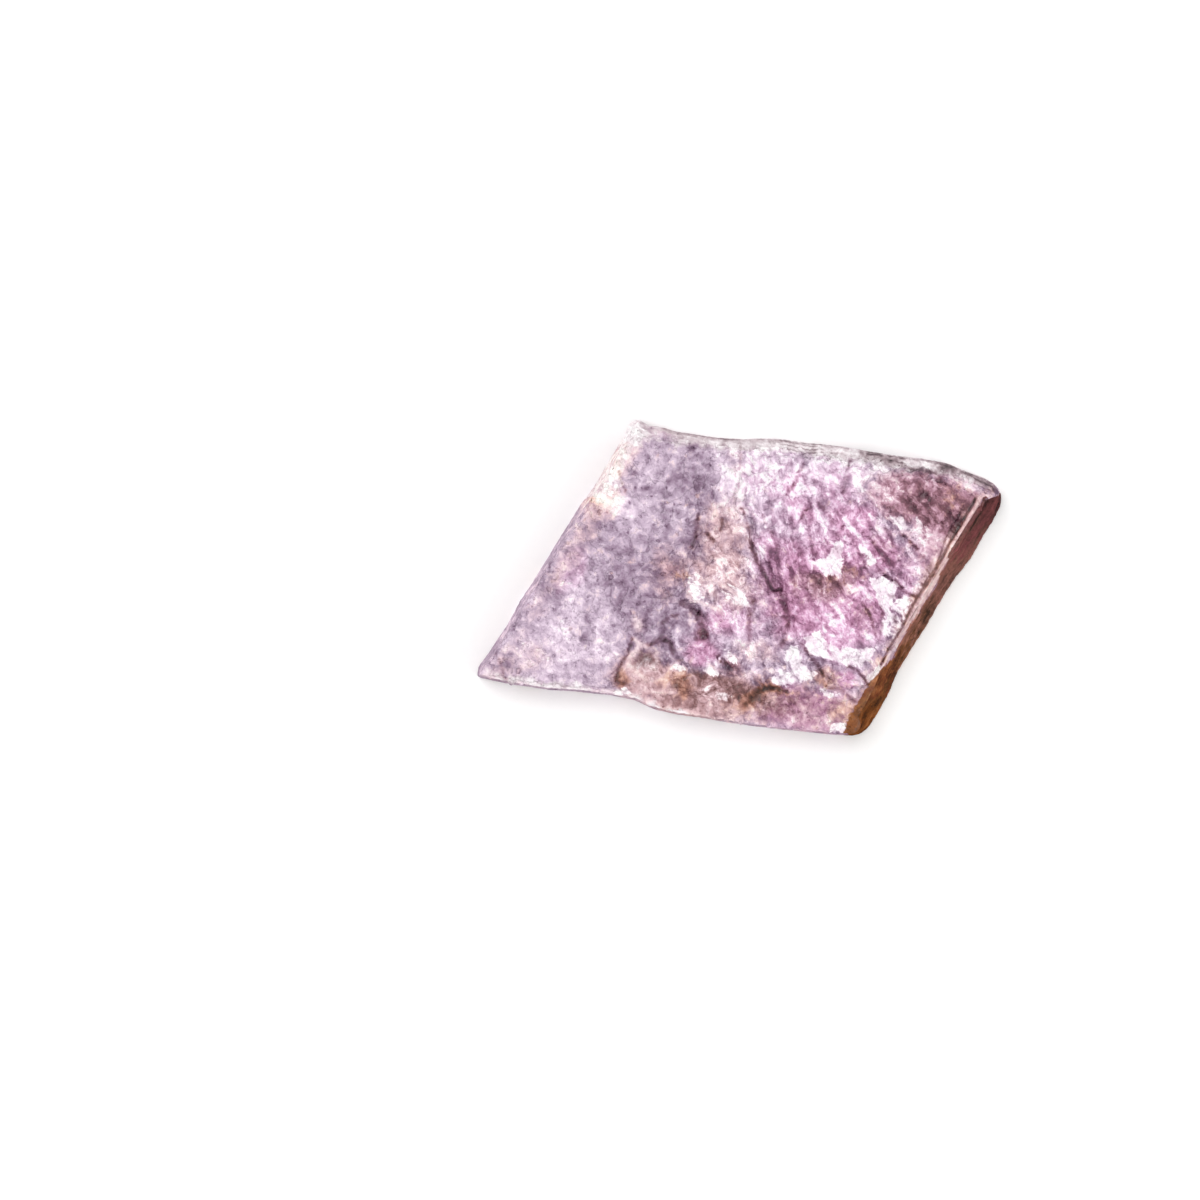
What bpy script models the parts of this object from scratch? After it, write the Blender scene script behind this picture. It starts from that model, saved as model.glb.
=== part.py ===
"""A broken slab of lepidolite, a lilac mica, lying on its flat cleavage face.

The slab is one natural piece: a stack of thin mica sheets grown together. Its four rough sides
show the sheets as ledges, and on the face that looks up two plates of sheets stand proud of a
middle band where they have flaked away.

Metres, +Z up, origin under the middle of the slab at the height of its resting face.
+X runs along the slab's length, to the stained side, and +Y to the ledged far side.
"""

import math

import bmesh
import bpy
from mathutils import Vector, noise

MM = 0.001

# Heights above the resting face, in millimetres
FACE_HEIGHT = 7.2
LEFT_PLATE_HEIGHT = 7.6
RIGHT_PLATE_HEIGHT = 8.0
PLATE_ROOT_DEPTH = 0.5
PLATE_EDGE_LEAN = 0.25

# The packets of sheets between the resting face and the upper face
PACKET_COUNT = 9
PACKET_UNEVENNESS = 0.22
LEAST_LEDGE = 0.07
RIM_ROUGHNESS = 0.16
ROUGHNESS_GRAIN = 0.45
LAYER_GRAIN = 1.7

# How far each side leans in over the slab's height, in millimetres
NEAR_LEAN = 0.5
RIGHT_LEAN = 3.4
FAR_LEAN = 2.2
LEFT_LEAN = 1.0
CORNER_BLEND_STEPS = 3

# The foot of each side seen from above, in millimetres, anticlockwise round the slab
NEAR_SIDE = (
    (-42.3, -16.1), (-39.4, -16.7), (-35.4, -17.5), (-30.6, -18.2), (-25.8, -18.5), (-21.0, -19.0),
    (-17.0, -19.8), (-13.8, -20.9), (-10.3, -21.8), (-6.6, -22.6), (-2.6, -23.3), (1.4, -23.9),
    (5.4, -24.4), (10.2, -24.9), (15.3, -25.4), (18.5, -25.5),
)
RIGHT_SIDE = (
    (20.1, -24.9), (21.2, -23.8), (22.6, -21.5), (24.2, -18.6), (25.5, -15.6), (27.9, -11.4),
    (30.3, -7.6), (32.6, -3.8), (34.8, -0.2), (37.0, 2.6), (39.4, 6.5), (41.5, 9.7), (42.3, 11.6),
)
FAR_SIDE = (
    (42.2, 13.4), (41.0, 15.0), (39.0, 16.1), (36.6, 16.9), (33.4, 18.3), (29.4, 19.1), (24.6, 19.6),
    (19.8, 20.4), (15.0, 21.2), (10.2, 21.7), (5.4, 22.3), (0.6, 22.2), (-4.2, 22.5), (-7.4, 23.0),
    (-10.3, 23.4), (-12.6, 24.2), (-14.6, 24.4), (-16.4, 25.5),
)
LEFT_SIDE = (
    (-17.7, 24.9), (-19.0, 22.2), (-21.4, 18.2), (-23.4, 14.8), (-25.8, 11.4), (-28.7, 6.8),
    (-31.8, 1.8), (-35.0, -3.3), (-37.8, -8.2), (-40.4, -12.2), (-42.2, -14.6),
)

# The plates of sheets left standing on the upper face
LEFT_PLATE = (
    (-40.2, -15.7), (-34.6, -16.8), (-28.2, -17.6), (-21.8, -18.0), (-17.0, -18.9), (-14.6, -15.3),
    (-13.0, -11.8), (-11.6, -7.3), (-9.7, -3.1), (-7.4, 2.6), (-6.3, 7.8), (-7.0, 11.9), (-5.2, 15.8),
    (-2.4, 18.6), (-2.0, 20.3), (-6.2, 20.6), (-11.0, 21.4), (-15.6, 22.6), (-18.2, 20.6),
    (-21.4, 15.6), (-26.2, 8.6), (-31.0, 1.0), (-36.2, -7.4), (-39.4, -12.6),
)
RIGHT_PLATE = (
    (0.2, 12.2), (1.8, 7.9), (3.3, 4.2), (4.8, 1.0), (6.8, -2.8), (7.9, -7.0), (8.9, -11.0),
    (11.1, -13.7), (13.7, -16.6), (16.9, -18.0), (20.0, -17.4), (22.4, -13.6), (25.0, -10.0),
    (27.3, -6.2), (29.6, -2.4), (31.7, 1.4), (33.9, 4.8), (36.3, 8.6), (38.0, 11.6), (37.0, 13.4),
    (34.0, 14.6), (30.4, 15.6), (26.0, 16.2), (21.4, 17.2), (16.6, 18.0), (11.0, 19.0), (6.2, 19.6),
    (2.6, 19.2), (1.2, 16.2),
)

# Where sheets have flaked out of a face: outline and depth, in millimetres
SCALLOP = (
    (-13.0, -5.4), (-13.6, -8.9), (-12.0, -11.0), (-9.4, -10.2), (-6.8, -11.8), (-4.9, -10.5),
    (-5.6, -7.2), (-7.4, -4.4), (-10.4, -3.5),
)
SCALLOP_DEPTH = 0.6
SMALL_SCALLOP = (
    (-13.9, -12.6), (-14.1, -15.9), (-11.6, -16.9), (-8.4, -14.7), (-8.7, -12.1), (-11.0, -10.7),
)
SMALL_SCALLOP_DEPTH = 0.4
FOOT_CHIP_NEAR = ((-12.0, -26.0), (6.5, -27.0), (3.0, -20.2), (-3.5, -18.4), (-9.0, -19.6))
FOOT_CHIP_RIGHT = ((29.0, -12.0), (37.5, -1.0), (33.4, 0.4), (29.2, -2.6), (26.2, -7.6))
FOOT_CHIP_LEFT = ((-33.0, 5.0), (-27.4, 3.6), (-24.0, 8.6), (-24.6, 15.5), (-30.0, 12.0))
FOOT_CHIP_DEPTH = 0.5
CUTTER_MARGIN = 2.0

LILAC = (0.42, 0.25, 0.38, 1.0)
PEARLY_ROUGHNESS = 0.35


def clear_scene():
    """Empties the scene."""
    for thing in list(bpy.data.objects):
        bpy.data.objects.remove(thing)


def lepidolite_material():
    """Pearly lilac mica."""
    material = bpy.data.materials.new("lepidolite")
    material.use_nodes = True
    shader = material.node_tree.nodes["Principled BSDF"]
    shader.inputs["Base Color"].default_value = LILAC
    shader.inputs["Roughness"].default_value = PEARLY_ROUGHNESS
    shader.inputs["Metallic"].default_value = 0.0
    return material


def foot_ring():
    """The foot outline with one extra point on each edge, and how far each point leans in."""
    sides = (
        (NEAR_SIDE, NEAR_LEAN), (RIGHT_SIDE, RIGHT_LEAN), (FAR_SIDE, FAR_LEAN), (LEFT_SIDE, LEFT_LEAN),
    )
    corners = [(Vector((x, y, 0.0)), lean) for side, lean in sides for x, y in side]
    points, leans = [], []
    for index, (corner, lean) in enumerate(corners):
        next_corner, next_lean = corners[(index + 1) % len(corners)]
        points += [corner, corner.lerp(next_corner, 0.5)]
        leans += [lean, 0.5 * (lean + next_lean)]
    for _ in range(CORNER_BLEND_STEPS):
        leans = [
            0.25 * leans[i - 1] + 0.5 * leans[i] + 0.25 * leans[(i + 1) % len(leans)]
            for i in range(len(leans))
        ]
    return points, leans


def inward_directions(points, reach):
    """A unit vector at each point of an anticlockwise ring, pointing into the slab."""
    directions = []
    for index in range(len(points)):
        along = points[(index + reach) % len(points)] - points[index - reach]
        directions.append(Vector((-along.y, along.x, 0.0)).normalized())
    return directions


def raise_ring(mesh, ring, places):
    """Extrudes a closed ring of vertices to new places, and returns the new ring in order."""
    edges = [mesh.edges.get((ring[i - 1], ring[i])) for i in range(len(ring))]
    extruded = bmesh.ops.extrude_edge_only(mesh, edges=edges)
    fresh = {item for item in extruded["geom"] if isinstance(item, bmesh.types.BMVert)}
    raised = []
    for vertex, place in zip(ring, places):
        neighbours = [edge.other_vert(vertex) for edge in vertex.link_edges]
        above = next(neighbour for neighbour in neighbours if neighbour in fresh)
        above.co = place * MM
        raised.append(above)
    return raised


def packet_tops():
    """The height of each packet's top, from the resting face to the upper face."""
    step = FACE_HEIGHT / PACKET_COUNT
    tops = [
        step * (k + 1) + PACKET_UNEVENNESS * math.sin(2.4 * k + 0.7) for k in range(PACKET_COUNT - 1)
    ]
    return tops + [FACE_HEIGHT]


def stray(point, layer):
    """A smooth random number from -1 to 1 for this point of the outline in this layer."""
    return noise.noise(Vector((point.x, point.y, LAYER_GRAIN * layer)) * ROUGHNESS_GRAIN)


def slab_body():
    """The stack of packets: each stands up from the last one, then draws in by a ledge."""
    mesh = bmesh.new()
    points, leans = foot_ring()
    inward = inward_directions(points, 2)
    drawn_in = [0.0] * len(points)

    def places(height):
        return [
            points[i] + inward[i] * drawn_in[i] + Vector((0.0, 0.0, height)) for i in range(len(points))
        ]

    ring = [mesh.verts.new(place * MM) for place in places(0.0)]
    mesh.faces.new(ring)
    for top in packet_tops():
        for i, point in enumerate(points):
            drawn_in[i] += RIM_ROUGHNESS * stray(point, top)
        ring = raise_ring(mesh, ring, places(top))
        if top == FACE_HEIGHT:
            break
        for i, point in enumerate(points):
            ledge = (1.0 + stray(point, top + FACE_HEIGHT)) * leans[i] / PACKET_COUNT
            drawn_in[i] = max(drawn_in[i] + max(LEAST_LEDGE, ledge), 0.0)
        ring = raise_ring(mesh, ring, places(top))
    mesh.faces.new(ring)
    bmesh.ops.recalc_face_normals(mesh, faces=mesh.faces)
    return mesh


def plate(name, outline, low, high, lean=0.0):
    """A flat plate with this outline between two heights. Its upper rim is drawn in by lean."""
    mesh = bmesh.new()
    points = [Vector((x, y, low)) for x, y in outline]
    inward = inward_directions(points, 1)
    ring = [mesh.verts.new(point * MM) for point in points]
    mesh.faces.new(ring)
    rise = Vector((0.0, 0.0, high - low))
    rim = [point + direction * lean + rise for point, direction in zip(points, inward)]
    mesh.faces.new(raise_ring(mesh, ring, rim))
    bmesh.ops.recalc_face_normals(mesh, faces=mesh.faces)
    return new_object(name, mesh)


def new_object(name, mesh):
    """An object in the scene with this mesh."""
    thing = bpy.data.objects.new(name, bpy.data.meshes.new(name))
    mesh.to_mesh(thing.data)
    mesh.free()
    bpy.context.scene.collection.objects.link(thing)
    return thing


def combine(slab, helper, operation):
    """Joins a helper solid to the slab or cuts it away. The helper is left out of the model."""
    helper.hide_render = True
    helper.display_type = "WIRE"
    modifier = slab.modifiers.new(f"{operation.lower()} {helper.name}", "BOOLEAN")
    modifier.object = helper
    modifier.operation = operation
    modifier.solver = "EXACT"


def build_slab():
    """The whole slab, with its standing plates and the places where sheets have flaked out."""
    slab = new_object("lepidolite_slab", slab_body())
    slab.data.materials.append(lepidolite_material())

    root = FACE_HEIGHT - PLATE_ROOT_DEPTH
    plates = (
        plate("left_plate", LEFT_PLATE, root, LEFT_PLATE_HEIGHT, PLATE_EDGE_LEAN),
        plate("right_plate", RIGHT_PLATE, root, RIGHT_PLATE_HEIGHT, PLATE_EDGE_LEAN),
    )
    for standing in plates:
        combine(slab, standing, "UNION")

    above = RIGHT_PLATE_HEIGHT + CUTTER_MARGIN
    hollows = (
        plate("scallop", SCALLOP, FACE_HEIGHT - SCALLOP_DEPTH, above, -PLATE_EDGE_LEAN),
        plate("small_scallop", SMALL_SCALLOP, FACE_HEIGHT - SMALL_SCALLOP_DEPTH, above, -PLATE_EDGE_LEAN),
        plate("foot_chip_near", FOOT_CHIP_NEAR, -CUTTER_MARGIN, FOOT_CHIP_DEPTH),
        plate("foot_chip_right", FOOT_CHIP_RIGHT, -CUTTER_MARGIN, FOOT_CHIP_DEPTH),
        plate("foot_chip_left", FOOT_CHIP_LEFT, -CUTTER_MARGIN, FOOT_CHIP_DEPTH),
    )
    for hollow in hollows:
        combine(slab, hollow, "DIFFERENCE")


clear_scene()
build_slab()
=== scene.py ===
import math
import random

import bmesh
import bpy
import numpy as np
from mathutils import Matrix, Vector, noise
from mathutils.bvhtree import BVHTree


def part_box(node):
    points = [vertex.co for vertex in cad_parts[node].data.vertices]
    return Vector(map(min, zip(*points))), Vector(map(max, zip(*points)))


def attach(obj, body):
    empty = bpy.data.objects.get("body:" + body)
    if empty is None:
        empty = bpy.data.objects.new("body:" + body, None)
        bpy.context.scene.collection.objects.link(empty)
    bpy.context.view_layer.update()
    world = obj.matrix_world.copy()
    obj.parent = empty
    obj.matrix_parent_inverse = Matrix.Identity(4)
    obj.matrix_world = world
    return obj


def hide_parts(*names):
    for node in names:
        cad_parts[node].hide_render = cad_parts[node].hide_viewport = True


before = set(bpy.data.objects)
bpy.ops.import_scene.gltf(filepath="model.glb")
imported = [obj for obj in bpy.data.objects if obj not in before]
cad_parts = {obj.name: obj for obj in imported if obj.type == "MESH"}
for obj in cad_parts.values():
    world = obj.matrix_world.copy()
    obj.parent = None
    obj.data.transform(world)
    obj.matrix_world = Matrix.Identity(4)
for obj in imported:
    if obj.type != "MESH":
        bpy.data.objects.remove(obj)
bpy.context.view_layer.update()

# The slab. A block broken from a large crystal of lepidolite: hundreds of thin sheets of lilac mica
# grown flat on each other. The face that looks up is a cleavage face, where sheets have flaked away
# in steps, and the four sides show the broken ends of the sheets.

MM = 0.001
NODE = "lepidolite_slab"

FACE_HEIGHT = 7.2
CELLS_ALONG = 288
CELLS_ACROSS = 200

# The foot of each side seen from above, in millimetres, anticlockwise, and how far the side leans in
NEAR_SIDE = (
    (-42.3, -16.1), (-39.4, -16.7), (-35.4, -17.5), (-30.6, -18.2), (-25.8, -18.5), (-21.0, -19.0),
    (-17.0, -19.8), (-13.8, -21.3), (-10.3, -22.1), (-6.6, -22.6), (-2.6, -23.3), (1.4, -23.9),
    (5.4, -24.4), (10.2, -24.9), (15.3, -25.4), (18.5, -25.5),
)
RIGHT_SIDE = (
    (20.1, -24.9), (21.2, -23.8), (22.6, -21.5), (24.2, -18.6), (25.5, -15.6), (27.9, -11.4),
    (30.3, -7.6), (32.6, -3.8), (34.8, -0.2), (37.0, 2.6), (39.4, 6.5), (41.5, 9.7), (42.3, 11.6),
)
FAR_SIDE = (
    (42.2, 13.4), (41.0, 15.0), (39.0, 16.1), (36.6, 16.9), (33.4, 18.3), (29.4, 19.1), (24.6, 19.6),
    (19.8, 20.4), (15.0, 21.2), (10.2, 21.7), (5.4, 22.3), (0.6, 22.2), (-4.2, 22.5), (-7.4, 23.0),
    (-10.3, 23.4), (-12.6, 24.2), (-14.6, 24.4), (-16.4, 25.5),
)
LEFT_SIDE = (
    (-17.7, 24.9), (-19.0, 22.2), (-21.4, 18.2), (-23.4, 14.8), (-25.8, 11.4), (-28.7, 6.8),
    (-31.8, 1.8), (-35.0, -3.3), (-37.8, -8.2), (-40.4, -12.2), (-42.2, -14.6),
)
NEAR_LEAN, RIGHT_LEAN, FAR_LEAN, LEFT_LEAN = 0.5, 3.4, 2.2, 1.0
CORNER_ROUNDING = 8
LEAN_BLENDING = 60

# The layers that the sides show
LAYERS = 18
LAYER_TOP = 7.1
FACE_LOWEST = 6.5
SPLINTERING = 0.10
RIM_HEIGHT = 7.15
RIM_CELLS = 4
RIM_RELIEF = 0.25
FAR_LEDGES = {0: 6.0, 2: 5.0, 5: 4.0}

# The steady strip of the upper face beside the brown side: its reach from the foot, and its fade
STRIP_REACH = 6.2
STRIP_FADE = 1.4

# How far down the near side the marks of the upper face fade out
NEAR_FADE = 0.8

# How far down the right side the brown crust starts, as a share of the side, by the place along it
CRUST_STARTS = (
    (-20.0, -0.15), (-17.0, 0.02), (-14.0, 0.26), (-12.0, 0.22), (-9.5, 0.14), (-6.0, 0.24), (-2.0, 0.26),
    (1.5, 0.04), (3.0, -0.15),
)


def smooth_ring(values, times):
    """A closed ring of values, each averaged with its neighbours a number of times."""
    for _ in range(times):
        values = 0.25 * np.roll(values, 1, axis=0) + 0.5 * values + 0.25 * np.roll(values, -1, axis=0)
    return values


def outline_rings():
    """Points evenly round the slab: its foot, its upper rim, the way out, and which side each is on."""
    corners = []
    share = []
    sides = (NEAR_SIDE, RIGHT_SIDE, FAR_SIDE, LEFT_SIDE)
    leans = (NEAR_LEAN, RIGHT_LEAN, FAR_LEAN, LEFT_LEAN)
    counts = (CELLS_ALONG, CELLS_ACROSS, CELLS_ALONG, CELLS_ACROSS)
    for index, side in enumerate(sides):
        chain = np.array(side + sides[(index + 1) % 4][:1])
        travelled = np.concatenate(([0.0], np.cumsum(np.linalg.norm(np.diff(chain, axis=0), axis=1))))
        stations = np.linspace(0.0, travelled[-1], counts[index] + 1)[:-1]
        corners.append(np.stack([np.interp(stations, travelled, chain[:, k]) for k in (0, 1)], axis=1))
        belongs = np.zeros((counts[index], 4))
        belongs[:, index] = 1.0
        share.append(belongs)
    foot = smooth_ring(np.concatenate(corners), CORNER_ROUNDING)
    side_share = smooth_ring(np.concatenate(share), LEAN_BLENDING)
    along = np.roll(foot, -3, axis=0) - np.roll(foot, 3, axis=0)
    outward = np.stack((along[:, 1], -along[:, 0]), axis=1)
    outward = smooth_ring(outward / np.linalg.norm(outward, axis=1)[:, None], CORNER_ROUNDING)
    rim = foot - outward * (side_share @ np.array(leans))[:, None]
    return foot, rim, outward, side_share


def patch_between(ring, along, across):
    """A function from shares of the way along and across to a point between the ring's four sides."""
    step_along, step_across = CELLS_ALONG // along, CELLS_ACROSS // across
    near = ring[0:CELLS_ALONG + 1:step_along]
    right = ring[CELLS_ALONG:CELLS_ALONG + CELLS_ACROSS + 1:step_across]
    far_start = CELLS_ALONG + CELLS_ACROSS
    far = ring[far_start:far_start + CELLS_ALONG + 1:step_along][::-1]
    left = np.concatenate((ring[far_start + CELLS_ALONG:], ring[:1]))[::step_across][::-1]

    def place(i, j):
        u, v = i / along, j / across
        ruled = (1 - v) * near[i] + v * far[i] + (1 - u) * left[j] + u * right[j]
        twice = (1 - u) * (1 - v) * near[0] + u * (1 - v) * near[-1] + (1 - u) * v * far[0] + u * v * far[-1]
        return ruled - twice

    return place


# What the upper face shows, as patches: middle x and y, length, width, turn in degrees, strength
PATCHES = {
    "tone": (
        (4.5, 17.5, 17.0, 9.0, 0, 0.11),
        (12.5, 17.5, 6.0, 5.0, 0, 0.10),
        (-17.8, 9.0, 5.0, 9.0, 0, 0.12),
        (-2.5, 10.0, 4.5, 9.0, 0, -0.06),
        (-22.5, 0.5, 12.0, 6.0, 57, -0.05),
        (-9.0, 2.5, 7.0, 5.0, 0, -0.06),
        (20.0, 2.2, 9.0, 5.0, 0, -0.07),
        (-1.0, -3.5, 9.0, 8.0, 0, -0.08),
        (9.5, -8.5, 9.0, 6.0, 0, -0.09),
        (8.0, 12.6, 5.0, 3.6, 0, -0.06),
        (23.0, -3.0, 6.0, 16.0, -30, -0.07),
        (2.5, 3.0, 4.0, 4.0, 0, 0.06),
        (12.5, 3.4, 5.0, 4.0, 0, 0.06),
        (-17.5, -4.5, 5.0, 8.0, 0, -0.05),
        (-12.5, -12.3, 5.0, 5.0, 0, -0.08),
        (-17.3, -9.5, 4.0, 8.0, 0, -0.06),
        (-7.8, -7.0, 4.0, 4.0, 0, -0.05),
        (3.0, 13.0, 4.0, 4.0, 0, -0.05),
        (27.5, 4.6, 5.0, 7.0, 0, 0.06),
        (2.2, 2.4, 3.0, 4.0, 0, 0.05),
        (13.2, 12.8, 5.0, 5.0, 0, 0.05),
        (7.6, 2.4, 4.0, 4.0, 0, -0.05),
        (-3.0, -3.0, 5.0, 4.0, 0, -0.05),
        (-8.0, -5.2, 4.0, 1.6, -45, -0.10),
        (-26.8, -8.0, 12.0, 2.0, 95, 0.07),
        (-22.6, -11.5, 12.0, 2.0, 95, 0.06),
        (-24.7, -8.0, 12.0, 1.4, 95, -0.05),
        (-30.2, -10.0, 8.0, 1.8, 95, 0.04),
        (-19.6, 0.0, 11.0, 2.4, 95, -0.04),
        (-28.0, -1.0, 8.0, 4.0, 57, -0.04),
        (-15.3, -7.5, 4.6, 1.0, 80, -0.10),
        (-3.0, -12.0, 4.0, 4.0, 0, -0.05),
        (-15.5, -13.5, 4.2, 3.2, 0, -0.19),
        (-2.5, -12.5, 5.0, 4.0, 0, -0.07),
        (-12.5, -17.5, 5.0, 3.0, 0, -0.10),
        (6.5, -17.4, 16.0, 4.0, 0, -0.06),
        (28.0, 7.6, 5.0, 4.0, 0, 0.20),
        (22.8, 3.0, 5.0, 4.0, 0, -0.08),
        (7.0, 7.5, 6.0, 5.0, 0, 0.10),
        (13.2, -0.9, 5.6, 2.0, -8, -0.06),
        (31.9, 14.6, 1.5, 2.8, 10, -0.26),
        (28.9, 13.2, 5.4, 1.3, 105, -0.19),
        (27.2, 10.8, 3.2, 1.6, 125, -0.20),
        (22.4, 11.4, 4.6, 0.9, -10, -0.14),
        (36.2, 11.3, 1.6, 1.2, 0, -0.26),
        (34.6, 8.7, 3.4, 1.0, 68, -0.24),
        (17.0, 12.6, 2.2, 0.9, 130, -0.18),
        (37.4, 14.3, 2.4, 1.2, -20, 0.26),
        (35.4, 14.6, 2.6, 1.4, 0, 0.18),
        (27.4, 16.0, 2.2, 1.4, 0, 0.10),
        (30.6, 10.6, 2.2, 1.0, 60, 0.12),
        (33.2, 12.4, 1.6, 1.0, 30, 0.12),
        (-17.1, 16.2, 1.0, 0.8, 0, -0.26),
        (-16.9, 14.2, 0.8, 0.8, 0, -0.26),
        (-15.4, 14.4, 0.8, 0.8, 0, -0.26),
        (-12.0, 14.7, 1.1, 0.8, 30, -0.24),
        (-9.3, 13.7, 1.0, 0.8, 0, -0.20),
        (-12.4, 11.7, 1.2, 1.0, 0, -0.18),
        (-8.6, 11.8, 1.1, 0.9, 0, -0.20),
        (-13.6, 19.3, 1.3, 0.9, 0, -0.20),
        (-3.9, 19.6, 1.6, 1.4, 0, 0.14),
        (-10.2, 18.6, 4.0, 1.0, 80, 0.08),
        (-16.2, 14.9, 1.0, 0.8, 0, 0.16),
        (12.8, -13.6, 1.8, 1.0, -20, -0.22),
        (10.4, -17.6, 1.6, 1.0, -10, -0.22),
        (4.9, -14.8, 2.2, 1.6, 40, -0.16),
        (-0.6, -18.3, 3.0, 1.0, -60, -0.18),
        (-6.3, -9.6, 1.9, 1.7, 0, -0.20),
        (-14.6, -18.4, 1.8, 1.4, 0, -0.06),
        (-12.5, 12.0, 6.0, 8.0, 0, 0.04),
        (22.0, 12.5, 5.0, 4.0, 0, 0.04),
        (21.5, 15.5, 8.0, 4.0, -10, 0.05),
        (18.7, 8.7, 4.6, 4.6, 0, 0.11),
        (13.0, 11.3, 2.4, 1.7, 20, -0.22),
        (15.4, 10.1, 1.3, 1.1, 0, -0.18),
        (13.2, 8.6, 4.2, 1.5, -40, 0.12),
        (3.3, 11.2, 4.8, 1.1, 95, 0.12),
        (6.3, 10.0, 13.0, 1.0, 96, 0.12),
        (8.6, 13.5, 2.0, 1.6, 60, 0.16),
        (-8.5, -21.2, 9.0, 1.8, -14, -0.04),
        (-12.2, -21.3, 8.0, 1.1, -15, 0.16),
        (-28.0, -9.0, 24.0, 12.0, 60, 0.06),
        (-13.0, 0.0, 24.0, 10.0, 100, -0.08),
        (-1.0, -18.5, 24.0, 6.0, -8, -0.14),
        (29.5, 10.5, 15.0, 9.0, 0, -0.27),
        (33.0, 12.0, 12.0, 8.0, 0, -0.08),
        (24.0, 18.8, 26.0, 2.4, -10, 0.18),
        (8.5, -1.0, 12.0, 9.0, 20, -0.12),
        (-19.8, 19.6, 16.0, 5.4, 58, 0.22),
        (-20.6, 12.3, 5.5, 4.0, 20, 0.12),
        (-5.8, 18.1, 3.4, 1.9, 110, -0.16),
        (-8.1, 20.0, 1.8, 1.2, 90, -0.20),
        (-11.0, 15.8, 3.2, 2.1, 70, -0.10),
        (-6.6, 14.4, 1.3, 0.9, 0, -0.20),
        (-8.5, 15.5, 14.0, 8.0, 100, -0.06),
        (-17.5, 3.6, 5.2, 1.0, 88, -0.12),
        (-7.2, 6.0, 6.0, 4.0, 90, -0.10),
        (-2.0, -3.0, 12.0, 8.0, -35, 0.10),
        (-0.4, 14.0, 12.0, 4.4, 95, 0.07),
        (10.0, 18.7, 1.8, 1.1, 70, -0.22),
        (12.3, 13.8, 4.0, 3.4, 60, -0.05),
        (27.3, 11.8, 3.8, 2.4, 110, -0.14),
        (22.3, 4.6, 7.0, 4.6, -45, -0.16),
        (5.6, 3.0, 4.0, 1.4, 80, -0.14),
        (9.4, 4.5, 1.6, 0.9, 60, -0.20),
        (4.2, 7.3, 3.0, 1.6, 100, -0.14),
        (13.4, -0.6, 6.0, 1.8, -8, -0.26),
        (17.3, -3.6, 8.0, 3.0, -65, -0.08),
        (11.0, -2.6, 9.0, 4.0, -10, -0.08),
        (10.5, -21.5, 13.0, 5.0, -8, -0.08),

        (-10.8, -7.2, 10.0, 8.0, 20, -0.04),
        (-12.6, -3.4, 6.0, 3.0, 20, -0.06),
        (-22.6, 4.6, 12.0, 6.0, 57, -0.08),
        (-30.5, -6.0, 8.0, 4.0, 57, -0.04),
        (17.4, 2.0, 4.0, 6.0, 10, -0.02),
        (-7.8, 1.6, 5.0, 4.0, 40, -0.09),
        (-12.3, -10.6, 3.2, 1.4, -20, -0.16),
        (-10.0, -13.0, 1.7, 1.1, 0, -0.22),
        (-2.0, -14.3, 2.2, 1.5, -30, -0.24),
        (-4.5, -11.0, 1.4, 1.1, 0, -0.20),
        (-5.0, -16.1, 3.6, 1.4, -15, -0.20),
        (0.0, -18.6, 2.6, 2.2, 0, -0.16),
        (-19.1, -16.0, 3.4, 1.8, 100, -0.22),
        (-14.8, -16.6, 8.0, 4.0, -10, 0.08),
        (-6.5, -12.0, 5.0, 4.0, 0, 0.08),
        (4.4, -7.2, 8.4, 5.4, 100, -0.04),
        (2.6, -12.0, 7.0, 4.6, 0, 0.08),
        (15.0, -9.0, 18.0, 7.0, -5, 0.07),
        (24.0, -7.5, 9.0, 4.0, 58, -0.02),
        (17.5, -20.4, 7.0, 4.0, 0, -0.02),
        (-16.6, -12.8, 4.0, 3.6, 0, -0.06),
        (3.0, -18.8, 9.0, 4.0, -8, -0.04),
        (2.3, -18.9, 5.4, 1.8, 46, -0.13),
        (6.6, -6.4, 4.4, 5.0, 100, -0.08),
    ),
    "pink": (
        (11.0, 7.0, 24.0, 15.0, 62, 0.48),
        (13.0, -4.0, 20.0, 15.0, -40, 0.86),
        (4.6, -6.8, 8.0, 5.0, 100, 0.2),
        (-2.5, -7.0, 6.0, 6.0, 0, 0.45),
        (-27.5, 1.5, 12.0, 5.0, 57, 0.35),
        (27.0, 0.0, 22.0, 7.0, 57, 0.4),
        (18.7, 8.7, 5.0, 4.6, 0, 0.9),
        (17.4, 1.4, 4.0, 6.0, 10, 0.7),
        (-6.5, -12.0, 5.0, 4.0, 0, 0.9),
        (16.6, -16.5, 3.4, 2.8, 0, 0.9),
        (11.0, -21.3, 17.0, 6.0, -8, 1.0),
        (5.0, 16.0, 12.0, 9.0, 0, 0.35),
        (22.5, 4.3, 7.0, 5.0, -45, 0.6),
        (-3.6, -6.6, 4.0, 3.0, 0, 0.4),
    ),
    "maroon": (
        (27.0, 12.8, 14.0, 8.0, -15, 1.0),
        (33.4, 9.6, 12.0, 10.0, 50, 1.0),
        (30.0, 3.6, 8.0, 5.0, 55, 0.5),
        (17.2, -0.2, 4.4, 3.4, 80, 0.7),
        (13.0, -0.9, 6.4, 3.0, -8, 1.0),
        (19.0, -6.0, 4.0, 3.0, -60, 0.4),
        (-11.6, 1.0, 4.4, 3.4, 0, 0.5),
        (-5.0, -16.6, 7.0, 3.0, -15, 0.6),
        (-1.6, -14.0, 4.0, 3.0, -40, 0.6),
        (-6.2, -9.0, 2.2, 2.0, 80, 0.8),
        (14.0, -15.6, 5.0, 2.6, -35, 0.6),
        (10.0, -22.0, 20.0, 7.0, -8, 0.6),
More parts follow.
